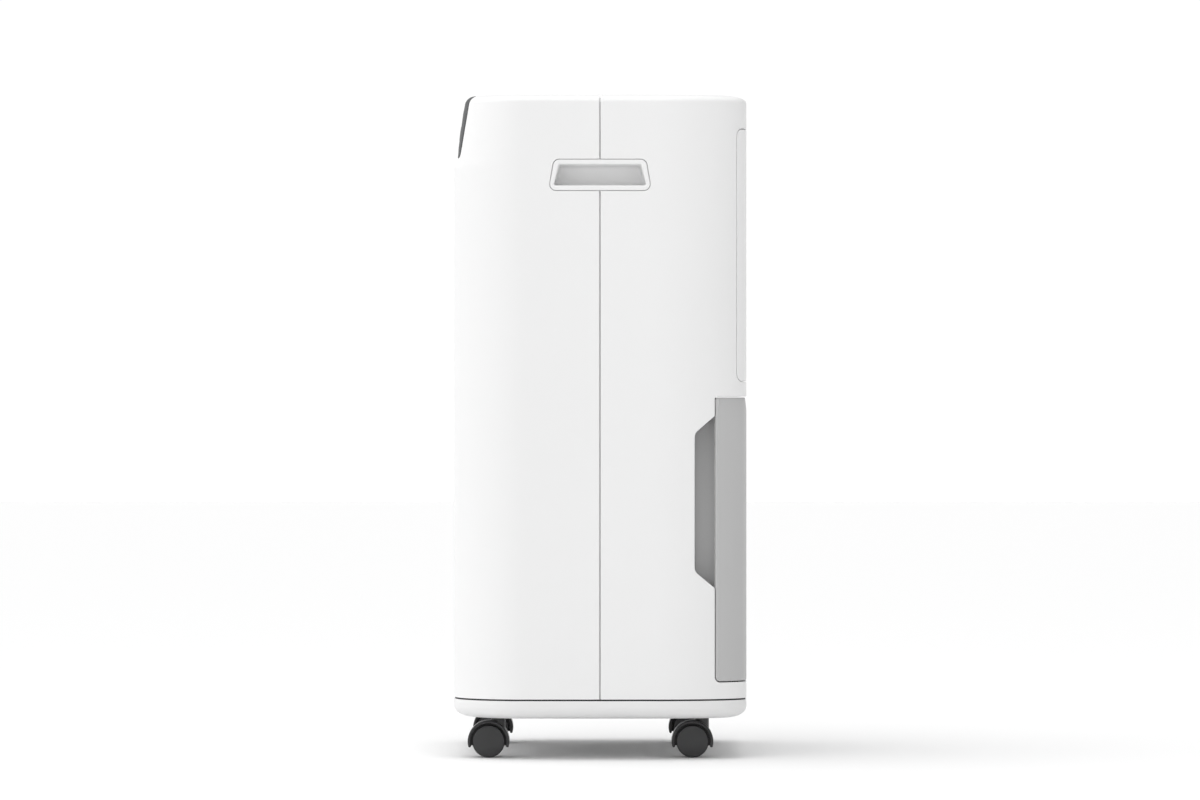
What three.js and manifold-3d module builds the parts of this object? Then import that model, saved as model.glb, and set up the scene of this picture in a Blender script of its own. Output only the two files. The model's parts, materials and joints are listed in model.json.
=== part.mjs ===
// A free-standing room dehumidifier on four twin-wheel casters, in millimetres, +Z up.
// The front (control fascia) faces -Y, the intake grille and the water tank face +Y.
// The origin is on the floor, under the middle of the housing.
import * as THREE from 'three';
import { mergeVertices } from 'three/addons/utils/BufferGeometryUtils.js';
import Module from 'manifold-3d';

const wasm = await Module();
wasm.setup();

// ---- Driving dimensions ----
const WIDTH = 360;
const DEPTH = 260.6;
const TOP_Z = 589.5;
const FRONT_CORNER_R = 62;
const REAR_CORNER_X = 42;
const REAR_CORNER_Y = 80;
const CORNER_STEPS = 7;
const WALL = 2.5;
const GAP = 0.4;

const CROWN_WIDTH = 34;
const CROWN_HEIGHT = 8.5;
const CROWN_POWER = 2.9;
const CROWN_STEPS = 5;

const BASE_BOTTOM_Z = 36.3;
const BASE_TOP_Z = 52.8;
const BASE_ROUND_WIDTH = 19;
const BASE_ROUND_HEIGHT = 10.6;
const BASE_ROUND_POWER = 2.2;
const CASING_BOTTOM_Z = 53.9;
const SEAM_HALF = 0.6;
const RIM_TOP_Z = 56.5;
const TRAY_FLOOR_Z = 39.8;
const LIP_LOW_Z = 57.5;

const FASCIA_STEP_Z = 525;
const FASCIA_LOW_Z = 534.5;
const FASCIA_LOW_INSET = 3.3;
const FASCIA_TILT = THREE.MathUtils.degToRad(7.6);
const FASCIA_TOP_R = 9;
const FASCIA_TIP_Y = -110.6;
const FASCIA_HALF_LOW = 133;
const FASCIA_HALF_TOP = 139;
const FASCIA_THICK = 3;
const LEDGE_THICK = 1.8;
const BUTTON_XS = [-98, -74, -50, 50, 74, 98];
const BUTTON_R = 7;

const HANDLE_LOW_Z = 503.8;
const HANDLE_TOP_Z = 531.1;
const HANDLE_HALF_LOW = 45.3;
const HANDLE_HALF_TOP = 40.5;
const HANDLE_R = 5.5;
const HANDLE_RIM = 4.4;
const HANDLE_DEPTH = 24;

const PANEL_LOW_Z = 335.5;
const PANEL_TOP_Z = 558.8;
const PANEL_HALF = 157;
const PANEL_R = 5;
const SLAT_PITCH = 7.2;
const SLAT_LOW_Z = 344;
const SLAT_ROWS = 26;
const SLAT_HALF_X = 140;
const SLAT_MIDDLE_HALF = 2;
const PANEL_THICK = 3;
const FILTER_HALF = 138;
const FILTER_LOW_Z = 351;
const FILTER_TOP_Z = 546;

const TANK_LOW_Z = 69.5;
const TANK_TOP_Z = 320.8;
const TANK_FRONT_Y = 102.7;
const TANK_HALF = 136;
const TANK_DEEP_Y = 42;
const TANK_THICK = 3;
const BUCKET_TOP_Z = 315;
const BAY_WALL_Y = 34;
const GRIP_Y = 83.7;
const GRIP_LOW_Z = 152.5;
const GRIP_TOP_Z = 304;
const GRIP_SLOPE = 14;
const GRIP_WALL = 2;

const OUTLET_Y0 = -80;
const OUTLET_Y1 = -12;
const OUTLET_HALF = 112;
const OUTLET_PITCH = 7.5;
const OUTLET_ROWS = 8;
const OUTLET_SLOT = 4.6;

const FAN_X = -45;
const FAN_Z = 428;
const FAN_R = 80;
const SCROLL_Y0 = -64;
const SCROLL_Y1 = -8;
const BLADES = 18;
const INTAKE_R = 66;
const SHELF_Z = 325;
const FAN_WALL_Y = 4.5;
const BULKHEAD_HALF = 170;
const COMPRESSOR_X = 50;
const COMPRESSOR_Y = -46;
const COMPRESSOR_R = 52;
const MOUNT_CIRCLE_R = 66;
const COIL_HALF = 128;
const COIL_LOW_Z = 346;
const COIL_TOP_Z = 536;
const COIL_BENDS = 4;

const DRAIN_Y = 60;
const DRAIN_Z = 331;
const DRAIN_HOLE_R = 9.5;
const CORD_X = -90;
const CORD_Z = 61.2;
const CORD_HOLE_R = 4.9;

const STEM_X = 121.5;
const STEM_Y = 90.85;
const STEM_R = 4;
const TRAIL = 8.45;
const WHEEL_R = 14.5;
const HOOD_R = 18.6;
const HOOD_INNER_R = 16;
const HOOD_HALF = 13;
const HOOD_TIP_DEG = -17.8;
const AXLE_R = 2.5;
const NECK_R = 6.5;
const NECK_TOP_Z = 35.9;
const STEM_TOP_Z = 54;

// Farther than any face of the housing, for cutters.
const FAR = 400;

// ---- Materials ----
const paint = (color, roughness, metalness = 0) =>
  new THREE.MeshStandardMaterial({ color, roughness, metalness });
const WHITE = paint(0xf1f1f0, 0.42);
const BEZEL = paint(0xf6f6f5, 0.38);
const GREY = paint(0xb5b5b5, 0.45);
const FASCIA = paint(0x5c5e60, 0.3);
const DISPLAY = paint(0x15171a, 0.08);
const BUTTON = paint(0x6d6f72, 0.35);
const CASTER = paint(0x2c2c2d, 0.5);
const STEEL = paint(0xb9bbbe, 0.35, 0.9);
const BLACK_STEEL = paint(0x1c1d1f, 0.45, 0.3);
const COPPER = paint(0xb87445, 0.3, 1);
const ALUMINIUM = paint(0xc9ccd0, 0.4, 0.9);
const INNER = paint(0xd9dbdc, 0.6);
const RUBBER = paint(0x222222, 0.85);
const BOARD = paint(0x1f6b43, 0.5);
const MESH = paint(0x3b3d40, 0.7);
const CLEAR = paint(0xdfe6ea, 0.15);

// ---- Solids ----
function solid(geometry) {
  const bare = new THREE.BufferGeometry();
  bare.setAttribute('position', geometry.getAttribute('position'));
  if (geometry.index) bare.setIndex(geometry.index);
  const merged = mergeVertices(bare, 1e-4);
  const vertProperties = new Float32Array(merged.getAttribute('position').array);
  const triVerts = new Uint32Array(merged.index.array);
  return new wasm.Manifold(new wasm.Mesh({ numProp: 3, vertProperties, triVerts }));
}

function geometryOf(manifold) {
  const cut = manifold.getMesh();
  const geometry = new THREE.BufferGeometry();
  geometry.setAttribute('position', new THREE.BufferAttribute(cut.vertProperties, 3));
  geometry.setIndex(new THREE.BufferAttribute(cut.triVerts, 1));
  const flat = geometry.toNonIndexed();
  flat.computeVertexNormals();
  return flat;
}

const root = new THREE.Group();

function addMesh(name, shape, material, parent = root) {
  const mesh = new THREE.Mesh(shape.isBufferGeometry ? shape : geometryOf(shape), material);
  mesh.name = name;
  parent.add(mesh);
  return mesh;
}

function box(x0, x1, y0, y1, z0, z1) {
  const geometry = new THREE.BoxGeometry(x1 - x0, y1 - y0, z1 - z0);
  geometry.translate((x0 + x1) / 2, (y0 + y1) / 2, (z0 + z1) / 2);
  return solid(geometry);
}

function turnTo(geometry, axis) {
  if (axis === 'x') geometry.rotateZ(-Math.PI / 2);
  if (axis === 'z') geometry.rotateX(Math.PI / 2);
  return geometry;
}

function rod(x, y, z, radius, length, axis, sides = 20) {
  const geometry = turnTo(new THREE.CylinderGeometry(radius, radius, length, sides), axis);
  return solid(geometry.translate(x, y, z));
}

// A turned solid about +Z (or +X, +Y): each profile point is (radius, place along the axis).
function turned(profile, sides, axis = 'z') {
  const points = profile.map(([radius, along]) => new THREE.Vector2(radius, along));
  return solid(turnTo(new THREE.LatheGeometry(points, sides), axis));
}

function tube(points, radius, sides, steps) {
  const places = points.map((p) => new THREE.Vector3(...p));
  const extrudePath = new THREE.CatmullRomCurve3(places, false, 'centripetal');
  const circle = new THREE.Path().absarc(0, 0, radius, 0, 2 * Math.PI);
  const section = new THREE.Shape(circle.getSpacedPoints(sides));
  return solid(new THREE.ExtrudeGeometry(section, { steps, extrudePath, bevelEnabled: false }));
}

// A closed outline with every corner rounded to the given radius.
function rounded(corners, radius, steps = 3) {
  const points = [];
  corners.forEach((corner, i) => {
    const at = new THREE.Vector2(...corner);
    const before = new THREE.Vector2(...corners.at(i - 1)).sub(at).normalize();
    const after = new THREE.Vector2(...corners[(i + 1) % corners.length]).sub(at).normalize();
    const half = before.angleTo(after) / 2;
    const reach = radius / Math.tan(half);
    const centre = before.clone().add(after).normalize().multiplyScalar(radius / Math.sin(half)).add(at);
    const first = at.clone().addScaledVector(before, reach).sub(centre);
    const last = at.clone().addScaledVector(after, reach).sub(centre);
    let turn = last.angle() - first.angle();
    if (turn > Math.PI) turn -= 2 * Math.PI;
    if (turn < -Math.PI) turn += 2 * Math.PI;
    for (let k = 0; k <= steps; k += 1) {
      const angle = first.angle() + (turn * k) / steps;
      points.push([centre.x + radius * Math.cos(angle), centre.y + radius * Math.sin(angle)]);
    }
  });
  return points;
}

// A straight prism of an outline: 'x' reads the points as (y, z), 'y' as (x, z), 'z' as (x, y).
function prism(points, axis, from, to) {
  const shape = new THREE.Shape(points.map((p) => new THREE.Vector2(...p)));
  const geometry = new THREE.ExtrudeGeometry(shape, { depth: to - from, bevelEnabled: false });
  if (axis === 'z') geometry.translate(0, 0, from);
  if (axis === 'x') geometry.rotateX(Math.PI / 2).rotateZ(Math.PI / 2).translate(from, 0, 0);
  if (axis === 'y') geometry.rotateX(Math.PI / 2).translate(0, to, 0);
  return solid(geometry);
}

const rectangle = (a0, a1, b0, b1) => [[a0, b0], [a1, b0], [a1, b1], [a0, b1]];

// ---- The housing's outer form ----
// A profile is a list of [inset, z] from the bottom up.
function crownProfile(lowZ) {
  const points = [[0, lowZ], [0, FASCIA_STEP_Z], [0, FASCIA_STEP_Z + 4], [0, FASCIA_LOW_Z]];
  for (let i = 0; i <= CROWN_STEPS; i += 1) {
    const angle = (Math.PI / 2) * (i / CROWN_STEPS);
    const inset = CROWN_WIDTH * (1 - Math.cos(angle) ** (2 / CROWN_POWER));
    const z = TOP_Z - CROWN_HEIGHT * (1 - Math.sin(angle) ** (2 / CROWN_POWER));
    points.push([inset, z]);
  }
  return points;
}

// Straight up to the step, back to the sloping fascia, then round on to the top.
function frontProfile(lowZ) {
  const points = [[0, lowZ], [0, FASCIA_STEP_Z], [1.4, FASCIA_STEP_Z + 6], [FASCIA_LOW_INSET, FASCIA_LOW_Z]];
  const centreZ = TOP_Z - FASCIA_TOP_R;
  const tangentZ = centreZ + FASCIA_TOP_R * Math.sin(FASCIA_TILT);
  const tangentInset = FASCIA_LOW_INSET + (tangentZ - FASCIA_LOW_Z) * Math.tan(FASCIA_TILT);
  const centreInset = tangentInset + FASCIA_TOP_R * Math.cos(FASCIA_TILT);
  for (let i = 0; i <= CROWN_STEPS; i += 1) {
    const angle = FASCIA_TILT + (Math.PI / 2 - FASCIA_TILT) * (i / CROWN_STEPS);
    points.push([centreInset - FASCIA_TOP_R * Math.cos(angle), centreZ + FASCIA_TOP_R * Math.sin(angle)]);
  }
  return points;
}

function baseProfile() {
  const points = [];
  for (let i = 0; i <= CROWN_STEPS; i += 1) {
    const angle = (Math.PI / 2) * (i / CROWN_STEPS);
    const inset = BASE_ROUND_WIDTH * (1 - Math.sin(angle) ** (2 / BASE_ROUND_POWER));
    const z = BASE_BOTTOM_Z + BASE_ROUND_HEIGHT * (1 - Math.cos(angle) ** (2 / BASE_ROUND_POWER));
    points.push([inset, z]);
  }
  points.push([0, BASE_TOP_Z]);
  return points;
}

// The same profile moved inwards by a wall's thickness.
function insetProfile(profile, amount) {
  const inwards = (a, b) => new THREE.Vector2(b[1] - a[1], a[0] - b[0]).normalize();
  return profile.map((point, i) => {
    if (i === 0) return [point[0] + amount, point[1]];
    if (i === profile.length - 1) return [point[0], point[1] - amount];
    const n1 = inwards(profile[i - 1], point);
    const n2 = inwards(point, profile[i + 1]);
    const mean = n1.clone().add(n2).normalize();
    const reach = amount / mean.dot(n1);
    return [point[0] + mean.x * reach, point[1] + mean.y * reach];
  });
}

// One closed solid lofted through rounded rectangles whose corner centres stay in line. The front
// corners are round and the rear ones elliptical.
function loft(front, rest) {
  const corners = [[1, 1], [-1, 1], [-1, -1], [1, -1]];
  const perRing = corners.length * (CORNER_STEPS + 1);
  const vertices = [];
  front.forEach(([frontInset, frontZ], level) => {
    const [inset, restZ] = rest[level];
    corners.forEach(([sx, sy], quarter) => {
      const atFront = sy < 0;
      const radiusX = atFront ? FRONT_CORNER_R : REAR_CORNER_X;
      const radiusY = atFront ? FRONT_CORNER_R : REAR_CORNER_Y;
      const reachY = radiusY - (atFront ? frontInset : inset);
      for (let k = 0; k <= CORNER_STEPS; k += 1) {
        const angle = (Math.PI / 2) * (quarter + k / CORNER_STEPS);
        const share = atFront ? Math.sin(angle) ** 2 : 0;
        const x = sx * (WIDTH / 2 - radiusX) + (radiusX - inset) * Math.cos(angle);
        const y = sy * (DEPTH / 2 - radiusY) + reachY * Math.sin(angle);
        vertices.push(x, y, restZ + (frontZ - restZ) * share);
      }
    });
  });
  const triangles = [];
  for (let level = 0; level + 1 < front.length; level += 1) {
    for (let k = 0; k < perRing; k += 1) {
      const a = level * perRing + k;
      const b = level * perRing + ((k + 1) % perRing);
      triangles.push(a, b, b + perRing, a, b + perRing, a + perRing);
    }
  }
  const last = (front.length - 1) * perRing;
  for (let k = 1; k + 1 < perRing; k += 1) {
    triangles.push(0, k + 1, k, last, last + k, last + k + 1);
  }
  const vertProperties = new Float32Array(vertices);
  const triVerts = new Uint32Array(triangles);
  return new wasm.Manifold(new wasm.Mesh({ numProp: 3, vertProperties, triVerts }));
}

function housing(inset, lowZ = CASING_BOTTOM_Z) {
  return loft(insetProfile(frontProfile(lowZ), inset), insetProfile(crownProfile(lowZ), inset));
}

const shell = (outer, inner) => housing(outer).subtract(housing(inner, CASING_BOTTOM_Z - 1));

// ---- Regions shared by a piece and the opening it sits in ----
function fasciaRegion(grow) {
  const low = FASCIA_LOW_Z - grow;
  const outline = [
    [-FASCIA_HALF_LOW - grow, low],
    [FASCIA_HALF_LOW + grow, low],
    [FASCIA_HALF_TOP + 2 + grow, TOP_Z + 10],
    [-FASCIA_HALF_TOP - 2 - grow, TOP_Z + 10],
  ];
  return prism(rounded(outline, 6), 'y', -DEPTH, FASCIA_TIP_Y + grow);
}

function handleRegion(grow, x0, x1) {
  const low = HANDLE_LOW_Z - grow;
  const top = HANDLE_TOP_Z + grow;
  const outline = [
    [-HANDLE_HALF_LOW - grow, low],
    [HANDLE_HALF_LOW + grow, low],
    [HANDLE_HALF_TOP + grow, top],
    [-HANDLE_HALF_TOP - grow, top],
  ];
  return prism(rounded(outline, Math.max(HANDLE_R + grow, 1.5)), 'x', x0, x1);
}

function panelRegion(grow) {
  const half = PANEL_HALF + grow;
  const outline = rectangle(-half, half, PANEL_LOW_Z - grow, PANEL_TOP_Z + grow);
  return prism(rounded(outline, Math.max(PANEL_R + grow, 1)), 'y', 95, DEPTH);
}

function gripRegion(grow, x0, x1) {
  const rear = TANK_FRONT_Y - 2;
  const front = GRIP_Y - grow;
  const outline = [
    [rear + 4, GRIP_LOW_Z - grow],
    [rear + 4, GRIP_TOP_Z + grow],
    [front, GRIP_TOP_Z - GRIP_SLOPE + grow],
    [front, GRIP_LOW_Z + GRIP_SLOPE - grow],
  ];
  return prism(outline.reverse(), 'x', x0, x1);
}

function outletRegion(grow, z0, z1) {
  const outline = rectangle(-OUTLET_HALF - grow, OUTLET_HALF + grow, OUTLET_Y0 - grow, OUTLET_Y1 + grow);
  return prism(rounded(outline, 7 + grow), 'z', z0, z1);
}

function handleOpenings(grow, from, to) {
  return handleRegion(grow, from, to).add(handleRegion(grow, -to, -from));
}

function gripRegions(grow, from, to) {
  return gripRegion(grow, from, to).add(gripRegion(grow, -to, -from));
}

// ---- Casing ----
function makeCasing() {
  const frontHalf = box(-FAR, FAR, -FAR, -SEAM_HALF, 0, FAR * 2);
  const rearHalf = box(-FAR, FAR, SEAM_HALF, FAR, 0, FAR * 2);
  const skin = shell(0, WALL);
  const cups = handleOpenings(0.5, WIDTH / 2 - 10, WIDTH / 2 + 10);
  const cupBacks = handleOpenings(6, WIDTH / 2 - 10, WIDTH / 2 - WALL);

  // The tongue along the seam, which reaches behind the rear half.
  const lipBack = WALL + GAP + 2;
  const lip = shell(WALL + GAP, lipBack)
    .intersect(box(-FAR, FAR, -5, 4, LIP_LOW_Z, FAR * 2))
    .add(shell(WALL - 0.7, lipBack).intersect(box(-FAR, FAR, -5, -SEAM_HALF, LIP_LOW_Z, FAR * 2)))
    .subtract(cupBacks);
  // The ledge that carries the fascia's edge.
  const ledgeTop = FASCIA_THICK + GAP;
  const ledgeBack = ledgeTop + LEDGE_THICK;
  const ledge = shell(ledgeTop, ledgeBack)
    .intersect(fasciaRegion(5))
    .add(shell(1, ledgeBack).intersect(fasciaRegion(5)).subtract(fasciaRegion(GAP)))
    .subtract(prism(rounded(rectangle(-127, 127, 541, 574), 6), 'y', -DEPTH, -100));
  const front = skin
    .intersect(frontHalf)
    .subtract(fasciaRegion(GAP))
    .subtract(outletRegion(0.5, TOP_Z - 20, TOP_Z + 5))
    .add(ledge)
    .add(lip)
    .subtract(cups);
  addMesh('front_casing', front, WHITE);

  const windowLedge = shell(WALL - 0.8, WALL + PANEL_THICK)
    .intersect(panelRegion(6))
    .subtract(shell(0, PANEL_THICK + GAP).intersect(panelRegion(0.6)))
    .subtract(panelRegion(-8));
  const mouthY = TANK_FRONT_Y - 1;
  const tankMouth = box(-FAR, FAR, mouthY, FAR, TANK_LOW_Z - 1, TANK_TOP_Z + 1);
  const pocketWalls = gripRegions(GRIP_WALL, TANK_HALF + 2.5, WIDTH / 2 - 1)
    .intersect(housing(1))
    .subtract(box(-FAR, FAR, mouthY, FAR, 0, FAR));
  const rear = skin
    .intersect(rearHalf)
    .subtract(panelRegion(0.6))
    .subtract(tankMouth)
    .add(windowLedge)
    .add(pocketWalls)
    .subtract(gripRegions(0, TANK_HALF, WIDTH / 2 + 10))
    .subtract(cups)
    .subtract(rod(-WIDTH / 2, DRAIN_Y, DRAIN_Z, DRAIN_HOLE_R, 20, 'x'))
    .subtract(rod(CORD_X, DEPTH / 2, CORD_Z, CORD_HOLE_R, 20, 'y'));
  addMesh('rear_casing', rear, WHITE);
}

function makeBaseTray() {
  const profile = baseProfile();
  const outer = loft(profile, profile);
  const rimInset = WALL + GAP;
  const rimProfile = [[rimInset, BASE_TOP_Z - 5], [rimInset, RIM_TOP_Z]];
  const rim = loft(rimProfile, rimProfile);
  const wallInset = rimInset + 2.2;
  const cavityProfile = [
    [wallInset + 9, TRAY_FLOOR_Z],
    [wallInset, TRAY_FLOOR_Z + 8],
    [wallInset, RIM_TOP_Z + 3],
  ];
  const cavity = loft(cavityProfile, cavityProfile);
  let tray = outer.add(rim).subtract(cavity);
  for (const x of [-STEM_X, STEM_X]) {
    for (const y of [-STEM_Y, STEM_Y]) {
      const socket = rod(x, y, 48.5, 8.5, 19, 'z', 12);
      tray = tray.add(socket).subtract(rod(x, y, 46, STEM_R + GAP, 22, 'z', 12));
    }
  }
  for (const [x, y] of mountPlaces()) tray = tray.add(rod(x, y, 47, 9, 15, 'z', 14));
  const rib = box(-138, 138, BAY_WALL_Y, BAY_WALL_Y + WALL, TRAY_FLOOR_Z - 1, 48.8);
  addMesh('base_tray', tray.add(rib), WHITE);
}

// The three feet of the compressor, evenly round its axis.
function mountPlaces() {
  return [0, 1, 2].map((i) => {
    const angle = Math.PI / 2 + (i * 2 * Math.PI) / 3;
    return [COMPRESSOR_X + MOUNT_CIRCLE_R * Math.cos(angle), COMPRESSOR_Y + MOUNT_CIRCLE_R * Math.sin(angle)];
  });
}

// ---- Handles ----
function makeHandle(name, side) {
  const face = WIDTH / 2;
  const deep = face - HANDLE_DEPTH;
  const cup = handleRegion(0, face - 3.4, face)
    .add(handleRegion(4.5, face - 5.2, face - WALL - GAP))
    .add(handleRegion(-HANDLE_RIM + 2, deep, face - 3))
    .subtract(handleRegion(-HANDLE_RIM, deep + 2, face + 2));
  const mesh = addMesh(name, cup, BEZEL);
  if (side < 0) mesh.rotation.z = Math.PI;
}

// ---- Control fascia, display, buttons and board ----
const fasciaFrame = new THREE.Group();
const FASCIA_MID_Z = 557;
fasciaFrame.position.set(
  0,
  -DEPTH / 2 + FASCIA_LOW_INSET + (FASCIA_MID_Z - FASCIA_LOW_Z) * Math.tan(FASCIA_TILT),
  FASCIA_MID_Z,
);
fasciaFrame.rotation.x = Math.PI / 2 - FASCIA_TILT;
fasciaFrame.updateMatrix();
root.add(fasciaFrame);

// A cutter drawn in the fascia's own frame, whose +Z points out of the sloping face.
function inFasciaFrame(manifold) {
  return solid(geometryOf(manifold).applyMatrix4(fasciaFrame.matrix));
}

function makeFascia() {
  const windowCut = inFasciaFrame(prism(rounded(rectangle(-34.4, 34.4, -10.4, 10.4), 3), 'z', -8, 4));
  let fascia = shell(0, FASCIA_THICK).intersect(fasciaRegion(0)).subtract(windowCut);
  for (const x of BUTTON_XS) {
    fascia = fascia.subtract(inFasciaFrame(rod(x, 0, 0, BUTTON_R + GAP, 16, 'z', 14)));
  }
  addMesh('control_fascia', fascia, FASCIA);
  const lens = prism(rounded(rectangle(-34, 34, -10, 10), 3), 'z', -FASCIA_THICK, -0.3);
  addMesh('display_window', lens, DISPLAY, fasciaFrame);
  const cap = [[0, -6], [BUTTON_R, -6], [BUTTON_R, 0.2], [BUTTON_R - 0.6, 0.8], [0, 0.6]];
  BUTTON_XS.forEach((x, i) => {
    const button = addMesh(`button_${i + 1}`, turned(cap, 14), BUTTON, fasciaFrame);
    button.position.x = x;
  });
  let board = box(-112, 112, -14.5, 14.5, -10.4, -8.8).add(box(-30, 30, -8, 8, -9, -5));
  for (const x of [-90, -62, 62, 86]) board = board.add(box(x - 7, x + 7, -8, 6, -16, -10));
  addMesh('control_board', board, BOARD, fasciaFrame);
}

// ---- Top outlet grille ----
function makeOutletGrille() {
  const plate = outletRegion(0, TOP_Z - WALL, TOP_Z);
  const flange = outletRegion(4, TOP_Z - WALL - GAP - 2, TOP_Z - WALL - GAP);
  const neck = outletRegion(-1, TOP_Z - WALL - GAP - 1, TOP_Z - 1);
  let grille = plate.add(flange).add(neck);
  for (let row = 0; row < OUTLET_ROWS; row += 1) {
    const y = (OUTLET_Y0 + OUTLET_Y1) / 2 + (row - (OUTLET_ROWS - 1) / 2) * OUTLET_PITCH;
    for (const [x0, x1] of [[-104, -36], [-32, 32], [36, 104]]) {
      grille = grille.subtract(box(x0, x1, y - OUTLET_SLOT / 2, y + OUTLET_SLOT / 2, TOP_Z - 12, TOP_Z + 2));
    }
  }
  addMesh('outlet_grille', grille, WHITE);
}

// ---- Partition that carries the tank bay, the shelf and the fan wall ----
function makeBulkhead() {
  const half = BULKHEAD_HALF;
  const bayWall = box(-half, half, BAY_WALL_Y, BAY_WALL_Y + WALL, 49.2, SHELF_Z + 2);
  const bayFloor = box(-half, half, BAY_WALL_Y, TANK_FRONT_Y - 4, TANK_LOW_Z - 5, TANK_LOW_Z - WALL);
  const shelf = box(-half, half, FAN_WALL_Y, 97, SHELF_Z, SHELF_Z + WALL);
  const fanWall = box(-148, 148, FAN_WALL_Y, FAN_WALL_Y + WALL, SHELF_Z, 572);
  const dripHole = rod(0, 76, SHELF_Z + 1, 8, 10, 'z', 16);
  const leverSlot = box(61, 71, 30, 40, 276, 304);
  const drainNotch = box(-half - 5, -140, DRAIN_Y - 10, DRAIN_Y + 10, SHELF_Z - 5, SHELF_Z + 5);
  const bulkhead = bayWall
    .add(bayFloor)
    .add(shelf)
    .add(fanWall)
    .intersect(housing(WALL + 1, BASE_BOTTOM_Z))
    .subtract(rod(FAN_X, 6, FAN_Z, INTAKE_R, 20, 'y', 24))
    .subtract(dripHole)
    .subtract(leverSlot)
    .subtract(drainNotch)
    .subtract(tube(SUCTION_ROUTE, 6.5, 6, 16))
    .subtract(tube(DISCHARGE_ROUTE, 6.5, 6, 18))
    .subtract(tube(CAPILLARY_ROUTE, 4, 6, 14));
  addMesh('bulkhead', bulkhead, INNER);
}

// ---- Refrigeration circuit ----
const ACCUMULATOR_X = COMPRESSOR_X + 80;
const ACCUMULATOR_Y = COMPRESSOR_Y + 6;
const SUCTION_ROUTE = [
  [ACCUMULATOR_X, ACCUMULATOR_Y, 236],
  [ACCUMULATOR_X, ACCUMULATOR_Y, 270],
  [146, -10, 318],
  [150, 40, 346],
  [150, 88, 370],
  [146, 95, 380],
  [138, 95, 380],
];
const DISCHARGE_ROUTE = [
  [COMPRESSOR_X, COMPRESSOR_Y, 266],
  [COMPRESSOR_X, COMPRESSOR_Y, 292],
  [COMPRESSOR_X + 30, -20, 306],
  [130, 16, 322],
  [146, 40, 380],
  [150, 59, 470],
  [147, 59, 504],
  [138, 59, 506],
];
const CAPILLARY_ROUTE = [
  [138, 59, 350],
  [150, 59, 341],
  [160, 61, 350],
  [161, 70, 390],
  [155, 90, 440],
  [146, 95, 450],
  [138, 95, 450],
];

// A finned block between two header plates, with return bends at its ends.
function makeCoil(name, y0, y1) {
  const yMid = (y0 + y1) / 2;
  const plate = box(COIL_HALF - 0.5, COIL_HALF + 3, y0 - 1, y1 + 1, COIL_LOW_Z - 2, COIL_TOP_Z + 2);
  let coil = box(-COIL_HALF, COIL_HALF, y0, y1, COIL_LOW_Z, COIL_TOP_Z)
    .add(plate)
    .add(plate.mirror([1, 0, 0]));
  for (let row = 0; row < COIL_BENDS; row += 1) {
    const z = COIL_LOW_Z + 20 + row * (150 / (COIL_BENDS - 1));
    for (const side of [-1, 1]) {
      const reach = side * (COIL_HALF + 1);
      const bend = [
        [reach, yMid, z - 10],
        [reach + side * 5, yMid, z - 8],
        [reach + side * 7, yMid, z],
        [reach + side * 5, yMid, z + 8],
        [reach, yMid, z + 10],
      ];
      if (side < 0 || row % 2) coil = coil.add(tube(bend, 3.4, 6, 4));
    }
  }
  addMesh(name, coil, ALUMINIUM);
}

function makeCompressor() {
  const can = turned([
    [0, 74], [30, 75], [COMPRESSOR_R - 5, 80], [COMPRESSOR_R, 88], [COMPRESSOR_R, 236],
    [COMPRESSOR_R - 6, 250], [30, 260], [10, 262.5], [5, 265.6], [0, 265.6],
  ], 20).translate([COMPRESSOR_X, COMPRESSOR_Y, 0]);
  const plateReach = 1.22;
  const plateCorners = mountPlaces().map(([x, y]) => [
    COMPRESSOR_X + (x - COMPRESSOR_X) * plateReach,
    COMPRESSOR_Y + (y - COMPRESSOR_Y) * plateReach,
  ]);
  let plate = prism(rounded(plateCorners, 10), 'z', 62, 65);
  plate = plate.add(rod(COMPRESSOR_X, COMPRESSOR_Y, 70, 40, 12, 'z', 20));
  for (const [x, y] of mountPlaces()) plate = plate.subtract(rod(x, y, 63, 5.4, 10, 'z', 14));
  addMesh('compressor', can.add(plate), BLACK_STEEL);
  // A grommet stands on the tray, narrows where it passes through the plate, and flares above it.
  const grommet = [
    [0, 54.9], [8.5, 54.9], [8.5, 61.6], [5, 61.6], [5, 65.4], [8.5, 65.4], [7.5, 71], [0, 71],
  ];
  mountPlaces().forEach(([x, y], i) => {
    const mesh = addMesh(`compressor_grommet_${i + 1}`, turned(grommet, 14), RUBBER);
    mesh.position.set(x, y, 0);
  });
  const bottle = turned([
    [0, 110], [12, 112], [21, 124], [21, 218], [12, 230], [5, 232], [5, 235.6], [0, 235.6],
  ], 14).translate([ACCUMULATOR_X, ACCUMULATOR_Y, 0]);
  addMesh('accumulator', bottle, BLACK_STEEL);
  addMesh('suction_pipe', tube(SUCTION_ROUTE, 4.5, 8, 16), COPPER);
  addMesh('discharge_pipe', tube(DISCHARGE_ROUTE, 3.6, 8, 18), COPPER);
  addMesh('capillary_tube', tube(CAPILLARY_ROUTE, 1.6, 6, 14), COPPER);
}

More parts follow.
